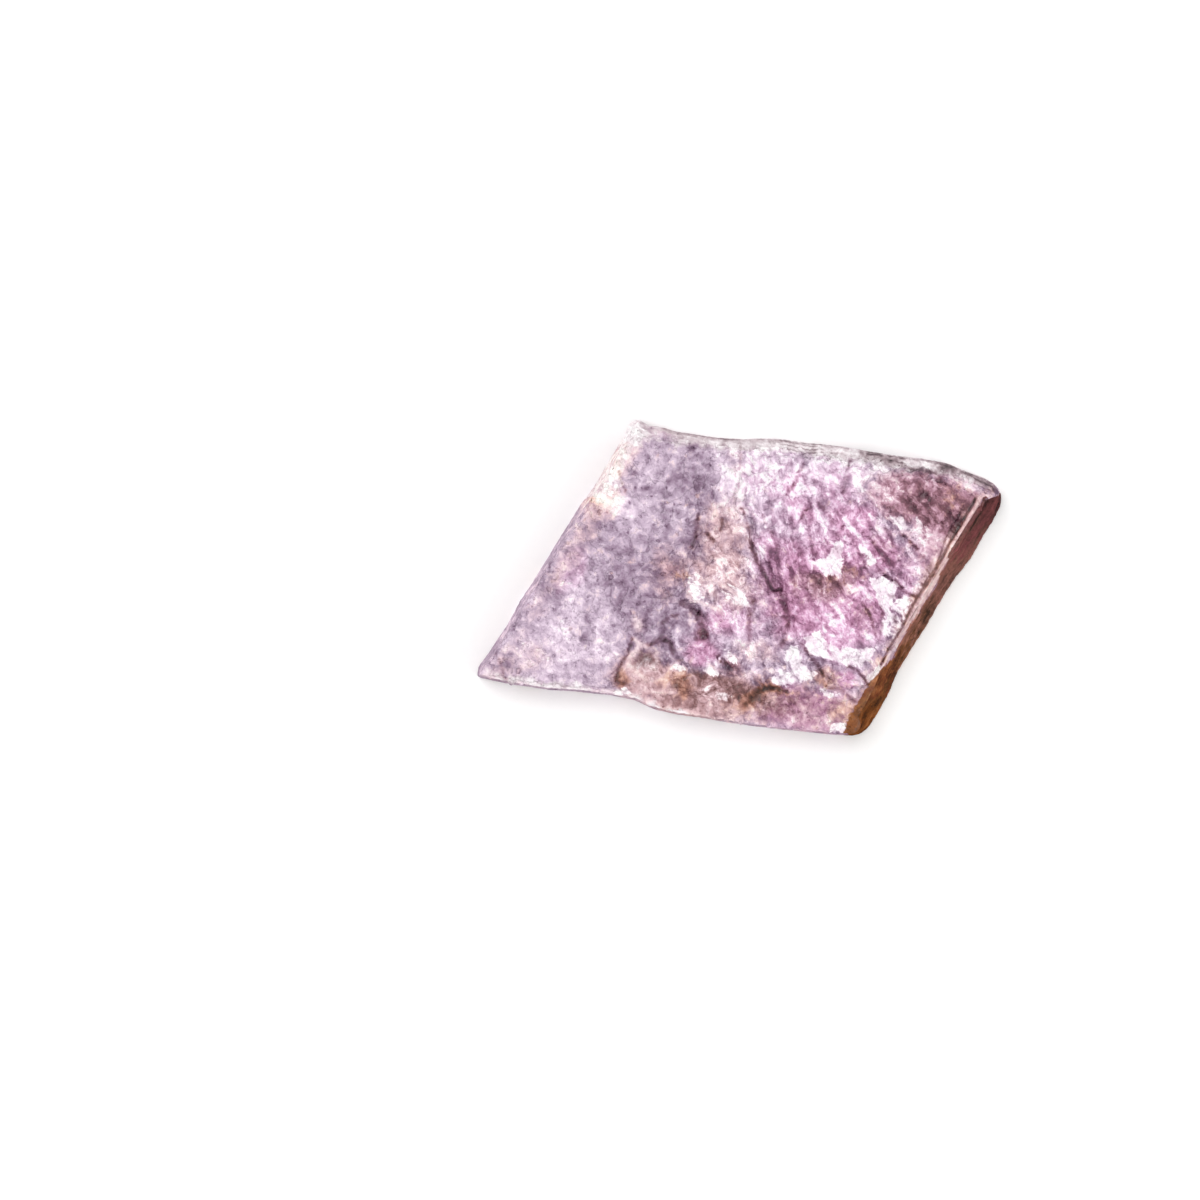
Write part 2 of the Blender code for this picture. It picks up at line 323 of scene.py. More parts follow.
        (4.0, -18.8, 9.0, 4.0, -8, 0.5),
        (12.0, -2.4, 9.0, 4.0, -15, 0.6),
        (22.3, 4.6, 7.0, 4.6, -45, 0.3),
    ),
    "warm": (
        (-20.8, 19.4, 17.0, 6.0, 56, 1.0),
        (-21.0, 12.0, 6.0, 4.0, 20, 0.7),
        (-2.5, 6.0, 14.0, 8.0, 95, 0.6),
        (-3.0, -1.5, 14.0, 9.0, -25, 0.5),
        (-12.0, 1.0, 10.0, 6.0, 70, 0.4),
        (-35.0, -13.6, 12.0, 6.0, 20, 0.4),
        (-14.8, -16.6, 12.0, 6.0, -12, 0.9),
        (-4.0, -18.6, 20.0, 7.0, -8, 1.0),
        (-8.5, -21.0, 10.0, 3.0, -14, 0.9),
        (-27.0, 3.6, 36.0, 3.6, 57, 0.4),
        (2.6, -12.0, 7.0, 4.6, 0, 0.5),
        (16.2, -21.4, 7.0, 5.0, 0, 0.6),
        (13.0, -16.2, 5.4, 2.8, -20, 0.7),
        (-0.5, 17.0, 11.0, 3.0, 95, 0.4),
        (21.5, -16.8, 3.4, 6.0, -30, 0.8),
        (-15.3, -13.3, 4.0, 3.2, 0, 0.7),
        (31.5, 1.5, 30.0, 3.4, 58, 0.9),
    ),
    "stain": (
        (-19.7, 18.0, 4.8, 1.0, 107, 0.6),
        (-23.0, 12.2, 2.6, 1.6, 30, 0.6),
        (13.2, -0.8, 5.6, 1.8, -8, 0.26),
        (-9.4, -17.0, 5.2, 2.4, 95, 0.85),
        (-12.0, -16.4, 4.0, 2.4, 20, 0.4),
        (2.3, -18.9, 5.6, 2.2, 46, 0.8),
        (5.8, -17.9, 4.0, 1.1, -8, 0.7),
        (-9.5, -0.3, 3.2, 2.0, 0, 0.4),
        (-20.2, 18.6, 13.0, 4.0, 58, 0.5),
        (-21.6, 12.6, 5.0, 4.0, 20, 0.36),
        (32.0, 2.4, 28.0, 1.6, 58, 0.36),
        (16.6, -21.3, 6.4, 4.0, 0, 0.36),
        (14.4, -17.2, 8.0, 4.0, -20, 0.30),
        (22.6, -13.4, 4.0, 5.0, -30, 0.35),
        (17.4, 0.4, 3.4, 6.4, 8, 0.30),
        (33.6, 12.6, 7.0, 3.6, 60, 0.35),
        (-18.9, -15.8, 4.0, 1.8, 100, 0.5),
        (0.5, -20.4, 8.0, 2.6, -8, 0.35),
        (-8.5, -21.2, 9.0, 1.8, -14, 0.15),
    ),
    "bleached": (
        (22.5, 19.1, 34.0, 3.2, -9, 1.0),
        (36.0, 16.8, 10.0, 2.0, -28, 0.7),
        (1.0, 21.6, 22.0, 2.6, -3, 1.0),
        (-9.0, 23.2, 14.0, 1.6, -14, 0.9),
        (-17.0, 23.0, 5.0, 4.0, 58, 0.9),
        (-15.5, -13.5, 4.6, 3.6, 0, 0.5),
        (-12.2, -21.3, 9.0, 1.5, -15, 0.9),
        (-31.0, -17.2, 22.0, 1.8, -9, 0.6),
        (20.5, 15.5, 8.0, 4.0, -15, 0.3),
    ),
    "rough": (
        (30.5, 12.0, 13.0, 9.0, 0, 0.9),
        (14.0, 0.0, 46.0, 44.0, 60, 1.0),
        (-2.0, -15.0, 30.0, 12.0, -8, 1.0),
        (-6.0, -3.0, 12.0, 14.0, 0, 0.7),
    ),
    "combed": (
        (7.0, 9.0, 26.0, 15.0, 100, 1.0),
        (-26.0, -7.0, 22.0, 12.0, 70, 0.35),
    ),
    "plumed": (
        (21.0, 2.0, 26.0, 16.0, -50, 1.0),
        (14.0, -6.0, 16.0, 12.0, -50, 0.6),
        (30.5, 12.0, 14.0, 9.0, -50, 0.9),
    ),
    "frosted": (
        (-2.5, -1.5, 13.0, 11.0, -30, 1.0),
        (19.0, 1.0, 20.0, 26.0, -40, 0.7),
        (-1.0, -13.0, 10.0, 6.0, -20, 0.7),
        (4.0, 14.0, 16.0, 12.0, 0, 0.5),
    ),
    "speckled": (
        (-10.0, 13.5, 20.0, 14.0, 0, 1.0),
        (-24.0, 0.0, 34.0, 14.0, 58, 0.6),
        (2.0, -20.0, 22.0, 6.0, -8, 0.8),
        (-16.0, -1.0, 14.0, 10.0, 60, 0.7),
    ),
}

# Cleavage facets painted near white as a painted reflection of the lamps: strength, and the corners of each
GLARE_FACETS = (
    (1.0, ((15.9, 6.0), (16.3, 2.6), (16.0, 0.5), (14.4, 0.0), (12.7, 0.9), (11.1, 2.3), (13.2, 3.4),
           (14.6, 5.0))),
    (1.0, ((19.8, 0.1), (22.4, 0.0), (24.9, -1.3), (24.7, -3.2), (23.9, -5.0), (22.8, -6.0), (21.5, -4.6),
           (21.1, -2.4))),
    (0.62, ((22.8, -5.0), (26.2, -3.0), (26.9, -4.2), (25.4, -8.0), (23.7, -10.6), (22.2, -8.6))),
    (0.72, ((23.2, 9.9), (25.8, 9.7), (26.6, 7.7), (24.9, 7.4), (23.2, 8.9))),
    (0.62, ((27.7, 9.7), (29.9, 7.9), (30.0, 5.3), (28.7, 5.6), (27.7, 7.2))),
    (0.66, ((18.7, 5.0), (20.8, 3.5), (21.6, 1.9), (20.0, 2.0), (19.0, 3.4))),
    (1.0, ((9.6, -9.6), (12.3, -8.7), (13.8, -10.5), (13.9, -12.9), (12.0, -13.2), (10.6, -12.4))),
    (0.85, ((13.6, -10.6), (16.6, -11.4), (19.6, -11.2), (21.4, -11.6), (20.6, -13.2), (19.0, -14.3),
            (16.6, -14.0), (14.0, -13.0))),
    (1.0, ((7.4, -10.8), (8.8, -11.0), (9.4, -12.5), (10.8, -14.3), (12.1, -15.3), (11.0, -16.5),
           (9.4, -16.8), (8.2, -15.4), (6.9, -13.2))),
    (0.85, ((4.6, -16.9), (5.1, -15.8), (6.6, -14.9), (8.6, -15.6), (9.2, -17.0), (7.2, -17.6))),
    (0.9, ((19.6, -15.9), (21.5, -14.4), (22.5, -14.0), (21.6, -15.9), (20.5, -17.2))),
    (0.85, ((12.1, -17.5), (13.8, -17.8), (16.0, -18.6), (16.1, -19.2), (12.9, -18.9))),
    (1.0, ((13.8, -23.7), (16.6, -23.2), (16.9, -24.9), (14.0, -25.0))),
    (0.95, ((-20.2, -17.8), (-18.0, -17.4), (-17.4, -18.7), (-19.7, -19.3))),
    (0.85, ((-10.8, -13.8), (-9.5, -14.1), (-8.9, -14.8), (-10.3, -14.7))),
    (0.66, ((-6.8, -15.1), (-5.0, -14.4), (-3.1, -15.4), (-3.4, -15.9), (-5.2, -15.3))),
    (0.60, ((-6.4, -18.2), (-4.8, -17.2), (-3.4, -18.5), (-1.6, -18.8), (-2.2, -19.8), (-4.2, -19.6))),
    (0.66, ((-3.6, -11.1), (-2.3, -11.5), (-0.4, -13.0), (-0.8, -14.0), (-2.7, -12.9))),
    (1.0, ((24.6, 18.6), (27.0, 18.4), (30.2, 17.8), (30.0, 17.1), (26.2, 17.6))),
    (0.54, ((17.2, 17.6), (18.5, 17.3), (20.0, 16.2), (20.8, 14.5), (18.9, 13.2), (17.7, 14.5))),
    (0.52, ((0.5, 20.4), (4.6, 20.6), (7.4, 18.8), (5.0, 15.4), (2.6, 14.2), (1.0, 16.6))),
    (0.52, ((-8.4, 0.8), (-6.8, 0.4), (-6.6, -2.6), (-5.4, -4.6), (-7.4, -4.2), (-8.6, -2.0))),
    (0.60, ((-3.0, -0.4), (0.6, -2.6), (1.4, -4.8), (-0.6, -4.4), (-3.4, -2.4))),
    (0.80, ((-19.6, 22.6), (-17.0, 25.6), (-15.9, 24.6), (-16.3, 22.6), (-16.9, 20.8), (-18.3, 18.8),
            (-18.9, 16.6), (-18.6, 14.6), (-20.6, 12.8), (-22.6, 12.9), (-25.2, 12.4))),
)

# Lines on the upper face: half-width in millimetres, strength, and the points that it runs through
LINES = {
    # Grooves cut into the face. Along them the colour is also darkened as painted shade in the cracks and as
    # painted crescent shadows at the hollows' rims, with a maroon tint
    "shaded_crevice": (
        (0.20, 0.8, ((0.0, 11.0), (0.6, 9.6), (1.1, 7.4), (1.6, 5.6), (2.4, 3.0))),
        (0.30, 1.0, ((1.4, 5.8), (2.1, 3.6), (2.6, 2.4))),
        (0.30, 1.0, ((2.4, 2.7), (3.4, 0.6), (4.4, -1.2), (5.2, -2.1), (6.2, -2.2))),
        (0.30, 0.7, ((-7.0, 9.8), (-7.1, 7.2), (-7.9, 4.6))),
        (0.30, 0.6, ((-5.4, 6.8), (-4.9, 5.9), (-4.4, 5.6))),
        (0.24, 0.6, ((-3.0, 9.4), (-3.2, 7.4))),
        (0.26, 1.0, ((7.3, 13.1), (8.6, 15.2))),
        (0.24, 0.6, ((8.6, 15.2), (9.7, 18.0))),
        (0.20, 0.8, ((9.4, 9.2), (9.8, 10.1), (10.6, 10.9))),
        (0.24, 0.5, ((16.1, 13.4), (16.6, 16.4), (17.4, 18.6))),
        (0.28, 0.8, ((26.0, 6.6), (27.0, 5.4), (28.0, 4.5))),
        (0.24, 1.0, ((21.8, 0.8), (23.6, -0.2), (24.9, -1.3), (26.3, -2.7), (27.9, -3.1))),
        (0.24, 0.9, ((19.2, -4.2), (20.2, -5.6), (20.9, -7.2), (21.3, -9.0))),
        (0.26, 0.7, ((24.3, -6.4), (24.6, -7.4))),
        (0.20, 0.6, ((23.2, -2.9), (25.4, -3.4))),
        (0.20, 0.5, ((22.2, -4.6), (22.5, -7.8), (21.9, -9.4))),
        (0.20, 0.6, ((13.4, -17.4), (15.8, -17.9), (18.1, -20.0))),
        (0.50, 0.45, ((-9.4, -4.1), (-8.0, -5.0), (-6.9, -6.0), (-6.3, -7.2))),
        (0.44, 0.7, ((-6.9, -6.0), (-6.1, -7.8), (-5.9, -9.6))),
        (0.55, 0.8, ((-6.0, -8.8), (-6.0, -9.8), (-6.9, -9.8))),
        (0.36, 0.7, ((-14.8, -10.7), (-13.8, -10.2), (-12.6, -9.8), (-11.4, -10.4), (-10.8, -12.0))),
        (0.50, 0.7, ((32.2, 17.4), (33.4, 17.1))),
        (0.26, 0.5, ((-12.6, -7.6), (-11.4, -6.4), (-10.0, -6.2))),
        (0.26, 0.6, ((-17.4, -9.8), (-17.9, -11.9), (-18.5, -13.0), (-19.6, -14.8), (-19.8, -16.4),
                     (-18.7, -17.0))),
        (0.34, 0.9, ((-3.9, -12.6), (-2.8, -13.6), (-1.7, -14.6))),
        (0.42, 0.7, ((2.0, -3.6), (1.3, -5.6), (1.1, -7.6), (1.3, -9.8))),
        (0.38, 0.6, ((6.2, -3.2), (7.1, -5.4), (7.4, -7.4), (7.2, -9.4), (6.4, -11.0))),
        (0.20, 0.8, ((9.5, -10.7), (10.6, -12.2), (12.2, -14.3), (13.0, -15.7))),
        (0.22, 0.8, ((17.0, -14.2), (18.8, -15.0), (20.2, -17.1))),
        (0.44, 0.45, ((0.8, -20.4), (2.4, -18.6), (4.5, -17.7))),
        (0.26, 0.8, ((3.9, -17.8), (5.4, -17.7), (7.4, -18.2))),
        (0.16, 0.35, ((-39.0, -12.2), (-38.2, -14.6), (-37.3, -16.6))),
        (0.20, 0.9, ((37.2, 12.4), (35.4, 9.1), (33.0, 5.1), (30.6, 0.4), (27.7, -3.8), (25.8, -7.4),
                     (23.1, -12.1), (22.2, -14.0))),
        (0.15, 0.7, ((34.8, 10.2), (32.6, 6.4), (30.9, 1.5), (29.4, -0.6), (28.2, -3.1))),
        (0.20, 0.5, ((-19.4, 16.8), (-18.9, 15.0), (-18.2, 13.2))),
        (0.20, 0.4, ((-0.3, 21.6), (0.0, 19.4), (-0.3, 17.2))),
        (0.16, 0.5, ((11.5, 20.3), (14.0, 19.9), (16.7, 19.4))),
        (0.20, 0.9, ((23.4, 18.2), (27.0, 17.3), (31.1, 16.4))),
        (0.20, 0.5, ((12.0, 12.2), (13.6, 10.4), (14.4, 8.4))),
        (0.20, 0.5, ((3.4, 9.8), (4.6, 7.0), (5.8, 4.4))),
        (0.22, 0.5, ((20.2, 6.4), (22.0, 4.0), (24.2, 2.2))),
    ),
    "ridge": (
        (0.42, 1.0, ((38.0, 12.6), (37.5, 11.6), (35.8, 8.7), (33.6, 4.7), (31.2, 0.0), (28.6, -4.3),
                     (26.5, -7.9), (23.6, -12.4), (22.6, -14.2))),
        (0.40, 1.3, ((-17.8, -13.0), (-17.0, -11.9), (-16.2, -10.8), (-14.9, -11.0))),
        (0.34, 1.3, ((-17.1, -9.9), (-16.2, -10.6))),
        (0.40, 1.2, ((-18.0, -13.9), (-16.9, -15.0), (-15.1, -16.4))),
        (0.22, 0.9, ((-3.6, -1.2), (-1.6, -2.2), (0.6, -3.6))),
        (0.26, 0.9, ((-8.4, -2.0), (-7.6, -3.4), (-5.6, -4.6), (-3.4, -5.2))),
        (0.20, 0.8, ((-6.4, -0.4), (-4.4, -0.4), (-2.6, -1.4))),
        (0.24, 0.9, ((-8.2, -5.8), (-8.0, -7.4))),
        # The lines along the near rim are a painted highlight, where the near wall catches the light. All these
        # lines lighten the face and raise it a little
        (0.34, 0.9, ((-41.0, -15.6), (-34.6, -17.0), (-25.8, -17.9), (-20.4, -18.4))),
        (0.75, 1.6, ((-18.0, -19.4), (-15.7, -20.1), (-12.4, -21.2), (-9.0, -22.0), (-7.6, -22.3))),
        (0.30, 0.8, ((-7.0, -22.3), (0.0, -23.2))),
        (0.24, 0.6, ((14.5, -19.4), (16.4, -19.7), (18.3, -20.3))),
        (0.60, 1.2, ((-16.6, -7.0), (-16.4, -8.2))),
        (0.30, 0.5, ((9.0, -17.4), (12.6, -17.2), (17.4, -18.6), (20.4, -20.6))),
        (0.50, 0.8, ((9.0, 21.0), (15.0, 20.2), (20.0, 19.5), (24.6, 18.6), (29.6, 18.0), (34.0, 16.6),
                     (38.4, 14.9))),
        (0.60, 0.5, ((-14.0, 23.4), (-10.0, 22.6), (-4.0, 21.4), (1.0, 21.0), (6.0, 21.2))),
    ),
    # A dark line along the far foot: painted shade where the far side steps down to the floor
    "outline": (
        (0.32, 1.2, ((41.0, 13.5), (38.6, 15.2), (36.4, 16.3), (33.4, 17.5))),
        (0.70, 1.2, ((33.6, 17.2), (31.6, 17.9))),
        (0.20, 0.4, ((33.2, 17.8), (29.3, 18.7), (25.4, 19.1))),
        (0.58, 1.6, ((25.4, 18.6), (22.0, 19.2), (19.3, 19.7))),
        (0.22, 0.8, ((17.2, 20.5), (15.0, 20.8), (11.6, 21.3))),
        (0.22, 0.5, ((10.2, 21.3), (5.4, 21.9), (0.6, 21.8), (-4.2, 22.1), (-7.4, 22.6), (-10.2, 23.0),
                     (-12.5, 23.7))),
    ),
    "iron": (
        (0.50, 3.0, ((22.9, -14.7), (21.0, -17.4))),
        (0.90, 5.0, ((21.0, -17.7), (19.1, -20.8), (17.2, -25.0))),
        (1.40, 5.0, ((19.6, -23.4), (19.0, -25.0))),
        (0.50, 1.2, ((38.9, 12.2), (38.5, 11.4), (36.4, 8.3), (33.4, 3.2))),
    ),
}


def noise_at(points, grain, layer):
    """Smooth random numbers, about -0.7 to 0.7, at points in millimetres."""
    return np.array([noise.noise(Vector((x * grain, y * grain, layer))) for x, y in points])


def patch_strength(points, patches, soft_union):
    """How strongly a list of patches shows at each point: full inside, fading out past the edge."""
    missing = np.ones(len(points))
    total = np.zeros(len(points))
    for x, y, length, width, turn, strength in patches:
        angle = math.radians(turn)
        offset = points - np.array((x, y))
        along = (offset[:, 0] * math.cos(angle) + offset[:, 1] * math.sin(angle)) * 2.0 / length
        across = (offset[:, 1] * math.cos(angle) - offset[:, 0] * math.sin(angle)) * 2.0 / width
        share = strength / (1.0 + (along ** 2 + across ** 2) ** 2)
        missing *= 1.0 - share
        total += share
    return 1.0 - missing if soft_union else total


def line_distance(points, way):
    """The distance in millimetres from each point to a line through a few places."""
    nearest = np.full(len(points), 1e6)
    for start, end in zip(np.array(way[:-1]), np.array(way[1:])):
        step = end - start
        share = np.clip(((points - start) @ step) / (step @ step), 0.0, 1.0)
        gap = np.linalg.norm(points - start - share[:, None] * step, axis=1)
        nearest = np.minimum(nearest, gap)
    return nearest


def facet_depth(points, corners):
    """How far each point is inside a facet's outline in millimetres, or outside it, as less than 0."""
    ring = np.array(corners)
    edge = line_distance(points, np.concatenate((ring, ring[:1])))
    inside = np.zeros(len(points), dtype=bool)
    for (x_one, y_one), (x_two, y_two) in zip(ring, np.roll(ring, 1, axis=0)):
        if y_one != y_two:
            crossing = (x_two - x_one) * (points[:, 1] - y_one) / (y_two - y_one) + x_one
            inside ^= ((y_one > points[:, 1]) != (y_two > points[:, 1])) & (points[:, 0] < crossing)
    return np.where(inside, edge, -edge)


def strip_share(points):
    """How far each point is into the steady strip beside the brown side: 0 inside the face, 1 at the rim."""
    return np.clip((STRIP_REACH - line_distance(points, RIGHT_SIDE)) / STRIP_FADE, 0.0, 1.0)


def face_fields(points):
    """What the mica shows at each point: one array of numbers for each kind of patch and line."""
    wander = np.stack((noise_at(points, 0.45, 3.1), noise_at(points, 0.45, 7.9)), axis=1) * 0.9
    wander += np.stack((noise_at(points, 1.4, 13.1), noise_at(points, 1.4, 17.9)), axis=1) * 0.35
    fields = {}
    for name, patches in PATCHES.items():
        fields[name] = patch_strength(points + wander, patches, name != "tone")
    # The glare facets: where the face is painted white as a reflection of the lamps
    glare_facet = np.zeros(len(points))
    for strength, corners in GLARE_FACETS:
        glare_facet = np.maximum(glare_facet, np.minimum(strength, 0.5 + 0.9 * facet_depth(points + 0.4 * wander, corners)))
    fields["glare_facet"] = glare_facet
    loose = 1.0 - 0.75 * strip_share(points)
    breaks = 0.80 + 0.8 * loose * noise_at(points, 1.6, 23.0)
    ragged = 1.0 + 0.5 * loose * noise_at(points, 2.6, 29.0)
    for name, lines in LINES.items():
        missing = np.ones(len(points))
        for half_width, strength, way in lines:
            gap = line_distance(points + 0.25 * loose[:, None] * wander, way)
            share = np.clip(strength * breaks, 0.0, 1.0)
            missing *= 1.0 - share / (1.0 + (gap / (half_width * ragged)) ** 4)
        fields[name] = 1.0 - missing
    return fields


def paint(mesh, extra_tone=None):
    """Stores the fields at a mesh's points, for its material to read."""
    places = np.array([vertex.co[:2] for vertex in mesh.vertices]) / MM
    below = np.clip((RIM_HEIGHT - np.array([vertex.co.z for vertex in mesh.vertices]) / MM) / NEAR_FADE, 0.0, 1.0)
    kept = 1.0 - 0.92 * below * np.clip(2.2 - line_distance(places, NEAR_SIDE), 0.0, 1.0)
    under = np.array([vertex.normal.z < -0.95 and vertex.co.z < 0.1 * MM for vertex in mesh.vertices])
    places[under] *= -0.8
    for name, values in face_fields(places).items():
        if name == "glare_facet" or name in LINES:
            values = np.where(under, 0.0, values)
        if name in ("tone", "glare_facet", "bleached") or name in LINES:
            values = values * kept
        if name == "tone" and extra_tone is not None:
            values = values + extra_tone
        mesh.attributes.new(name, "FLOAT", "POINT").data.foreach_set("value", values.astype(np.float32))


frame_tree = BVHTree.FromPolygons(
    [vertex.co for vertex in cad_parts[NODE].data.vertices],
    [polygon.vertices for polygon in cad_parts[NODE].data.polygons],
)


def frame_height(x, y):
    """The height of the upper face's plates and hollows above a point, in millimetres."""
    struck = frame_tree.ray_cast(Vector((x, y, 20.0)) * MM, Vector((0.0, 0.0, -1.0)))[0]
    height = FACE_HEIGHT if struck is None else struck.z / MM
    return height if height > FACE_LOWEST else FACE_HEIGHT


def worn_height(x, y):
    """The same, with the left rims of the two hollows worn down to slopes."""
    if not (WORN_LOW[0] < x < WORN_HIGH[0] and WORN_LOW[1] < y < WORN_HIGH[1]):
        return frame_height(x, y)
    reach = min(WORN_REACH, WORN_HIGH[0] - x)
    turns = [k * math.tau / 10 for k in range(10)]
    around = [frame_height(x + reach * math.cos(a), y + reach * math.sin(a)) for a in turns]
    half_way = [frame_height(x + 0.5 * reach * math.cos(a), y + 0.5 * reach * math.sin(a)) for a in turns]
    return (sum(around) + sum(half_way)) / 20


# Cleavage scales on the upper face: size, greatest slope and greatest step in height
SCALE_SIZES = ((6.0, 0.014, 0.10), (2.4, 0.030, 0.06), (1.0, 0.050, 0.03))
COMB_TURN = math.radians(103)
PLUME_TURN = math.radians(-50)
CEILING = 7.84
CEILING_ROOM = 0.14

# The zone whose hollows have worn rims, in millimetres
WORN_LOW, WORN_HIGH = (-18.5, -19.0), (-9.0, -3.0)
WORN_REACH = 2.2


def mosaic(x, y, size, slope, step):
    """The height of a mosaic of flat scales, each with its own small slope and level."""
    middle = noise.voronoi(Vector((x / size, y / size, 0.0)))[1][0]
    tilt_x, tilt_y, level = (noise.cell(middle * 37.0 + Vector((k, 0.0, 0.0))) for k in (0.0, 11.3, 29.7))
    reach_x, reach_y = x - middle.x * size, y - middle.y * size
    return slope * (tilt_x * reach_x + tilt_y * reach_y) + step * level


def furrows(x, y, turn):
    """Long low ridges that run one way."""
    along = (x * math.cos(turn) + y * math.sin(turn)) * 0.22
    across = y * math.cos(turn) - x * math.sin(turn)
    broad = abs(noise.noise(Vector((along, across * 0.8, 5.0))))
    return 0.20 * broad + 0.07 * abs(noise.noise(Vector((along * 3.0, across * 2.4, 9.0)))) - 0.05


def relief(points, fields):
    """The height of the upper face above each point, in millimetres."""
    wander_x, wander_y = noise_at(points, 0.9, 41.0), noise_at(points, 0.9, 47.0)
    fine_x, fine_y = noise_at(points, 3.0, 51.0), noise_at(points, 3.0, 57.0)
    glare_facet = np.clip(fields["glare_facet"] * 3.0 - 1.5, 0.0, 1.0)
    rough = (0.25 + 0.9 * fields["rough"]) * (1.0 - 0.7 * glare_facet)
    loose = 1.0 - strip_share(points)
    heights = np.empty(len(points))
    for index, (x, y) in enumerate(points):
        x_near = x + loose[index] * (0.7 * wander_x[index] + 0.25 * fine_x[index])
        y_near = y + loose[index] * (0.7 * wander_y[index] + 0.25 * fine_y[index])
        scales = sum(mosaic(x_near, y_near, *size) for size in SCALE_SIZES)
        combs = fields["combed"][index] * furrows(x_near, y_near, COMB_TURN)
        combs += fields["plumed"][index] * furrows(x_near, y_near, PLUME_TURN)
        heights[index] = worn_height(x_near, y_near) + rough[index] * scales - 0.14 + combs
    heights += 0.12 * noise_at(points, 0.08, 61.0) - 0.10 * glare_facet
    heights += 0.08 * fields["ridge"] - 0.30 * fields["shaded_crevice"]
    over = np.maximum(heights - CEILING, 0.0)
    return np.minimum(heights, CEILING) + CEILING_ROOM * np.tanh(over / CEILING_ROOM)


def new_piece(name, mesh, materials):
    """A piece of the object, with smooth faces and sharp breaks."""
    piece = bpy.data.objects.new(name, bpy.data.meshes.new(name))
    mesh.to_mesh(piece.data)
    mesh.free()
    bpy.context.scene.collection.objects.link(piece)
    piece.data.shade_smooth()
    piece.data.set_sharp_from_angle(angle=math.radians(34))
    for material in materials:
        piece.data.materials.append(material)
    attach(piece, "root")
    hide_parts(NODE)
    return piece


def raise_ring(mesh, ring, places, painting):
    """Extrudes a closed ring of vertices to new places, paints it, and returns the new ring in order."""
    edges = [mesh.edges.get((ring[i - 1], ring[i])) for i in range(len(ring))]
    extruded = bmesh.ops.extrude_edge_only(mesh, edges=edges)
    fresh = {item for item in extruded["geom"] if isinstance(item, bmesh.types.BMVert)}
    raised = []
    for vertex, place in zip(ring, places):
        neighbours = [edge.other_vert(vertex) for edge in vertex.link_edges]
        above = next(neighbour for neighbour in neighbours if neighbour in fresh)
        above.co = place
        raised.append(above)
    for name, values in painting.items():
        layer = mesh.verts.layers.float[name]
        for vertex, value in zip(raised, values):
            vertex[layer] = value
    return raised


def layer_levels():
    """The height of the foot of each layer on the sides, from the upper face down."""
    steps = np.array([1.0 + 0.45 * math.sin(2.3 * k) for k in range(LAYERS)])
    return LAYER_TOP * (1.0 - np.cumsum(steps) / steps.sum())


def layer_shares(foot, side_share):
    """How much of its way out to the foot each layer has come, for each point round the slab."""
    ledges = []
    for k in range(LAYERS):
        stray = 1.0 + 1.3 * noise_at(foot, 0.14, 1.9 * k) + 0.45 * noise_at(foot, 0.9, 2.3 * k)
        far_weight = FAR_LEDGES.get(k, 0.3)
        weight = 1.0 + side_share[:, 2] * (far_weight - 1.0)
        ledges.append(np.maximum(stray * weight, 0.05))
    total = np.cumsum(ledges, axis=0)
    return total / total[-1]


def perimeter(corner_x, corner_y):
    """The grid places round the edge of a grid of cells, anticlockwise from the near left corner."""
    near = [(i, 0) for i in range(corner_x)]
    right = [(corner_x, j) for j in range(corner_y)]
    far = [(i, corner_y) for i in range(corner_x, 0, -1)]
    left = [(0, j) for j in range(corner_y, 0, -1)]
    return near + right + far + left


def laid_grid(mesh, cells_x, cells_y, ring, height):
    """A grid of faces laid between the four sides of a ring, and its vertices by their places."""
    made = bmesh.ops.create_grid(mesh, x_segments=cells_x, y_segments=cells_y, size=1.0)["verts"]
    place = patch_between(ring, cells_x, cells_y)
    by_place = {}
    for vertex in made:
        i, j = round((vertex.co.x + 1.0) * cells_x / 2), round((vertex.co.y + 1.0) * cells_y / 2)
        by_place[i, j] = vertex
    points = np.array([place(i, j) for i, j in by_place])
    for vertex, (x, y), z in zip(by_place.values(), points, height(points)):
        vertex.co = Vector((x, y, z)) * MM
    return by_place


def crust_cover(foot, way_down, side_share):
    """How much brown crust covers the side all round it at one height: all of the right side but its top."""
    ragged = 0.05 * noise_at(foot, 0.6, 71.0) + 0.04 * noise_at(foot, 2.2, 73.0)
    top = np.interp(foot[:, 1], *zip(*CRUST_STARTS))
    covered = np.clip((way_down - top + 0.04 + ragged) * 5.0, 0.0, 1.0)
    lobes = noise_at(foot, 0.5, 75.0 + 3.0 * way_down) + 0.5 * noise_at(foot, 1.6, 77.0 + 6.0 * way_down)
    lobes *= 1.3 * min(3.0 * way_down, 1.0)
    covered *= np.clip((side_share[:, 1] - 0.5) * 4.0 + 0.5 + lobes, 0.0, 1.0)
    corner = np.clip((foot[:, 0] - 16.8) * 1.5 + 2.0 * ragged + lobes, 0.0, 1.0) * (foot[:, 1] < -22.0)
    return np.maximum(covered, corner)


def lip_shade_strength(foot, side_share):
    """How much painted shade darkens the rims of the ledges at each point round the slab: most on the far side's
    right.
    """
    far_right = np.clip((foot[:, 0] - 2.0) / 10.0, 0.0, 1.0) * side_share[:, 2]
    breaks = np.clip(0.7 + 1.1 * noise_at(foot, 0.3, 91.0) + 0.7 * noise_at(foot, 1.4, 93.0), 0.0, 1.0)
    corner = np.clip((foot[:, 0] - 31.0) / 5.0, 0.0, 1.0)
    return breaks * (0.58 + 0.30 * far_right - 0.20 * corner) * (1.0 - 0.7 * side_share[:, 1])


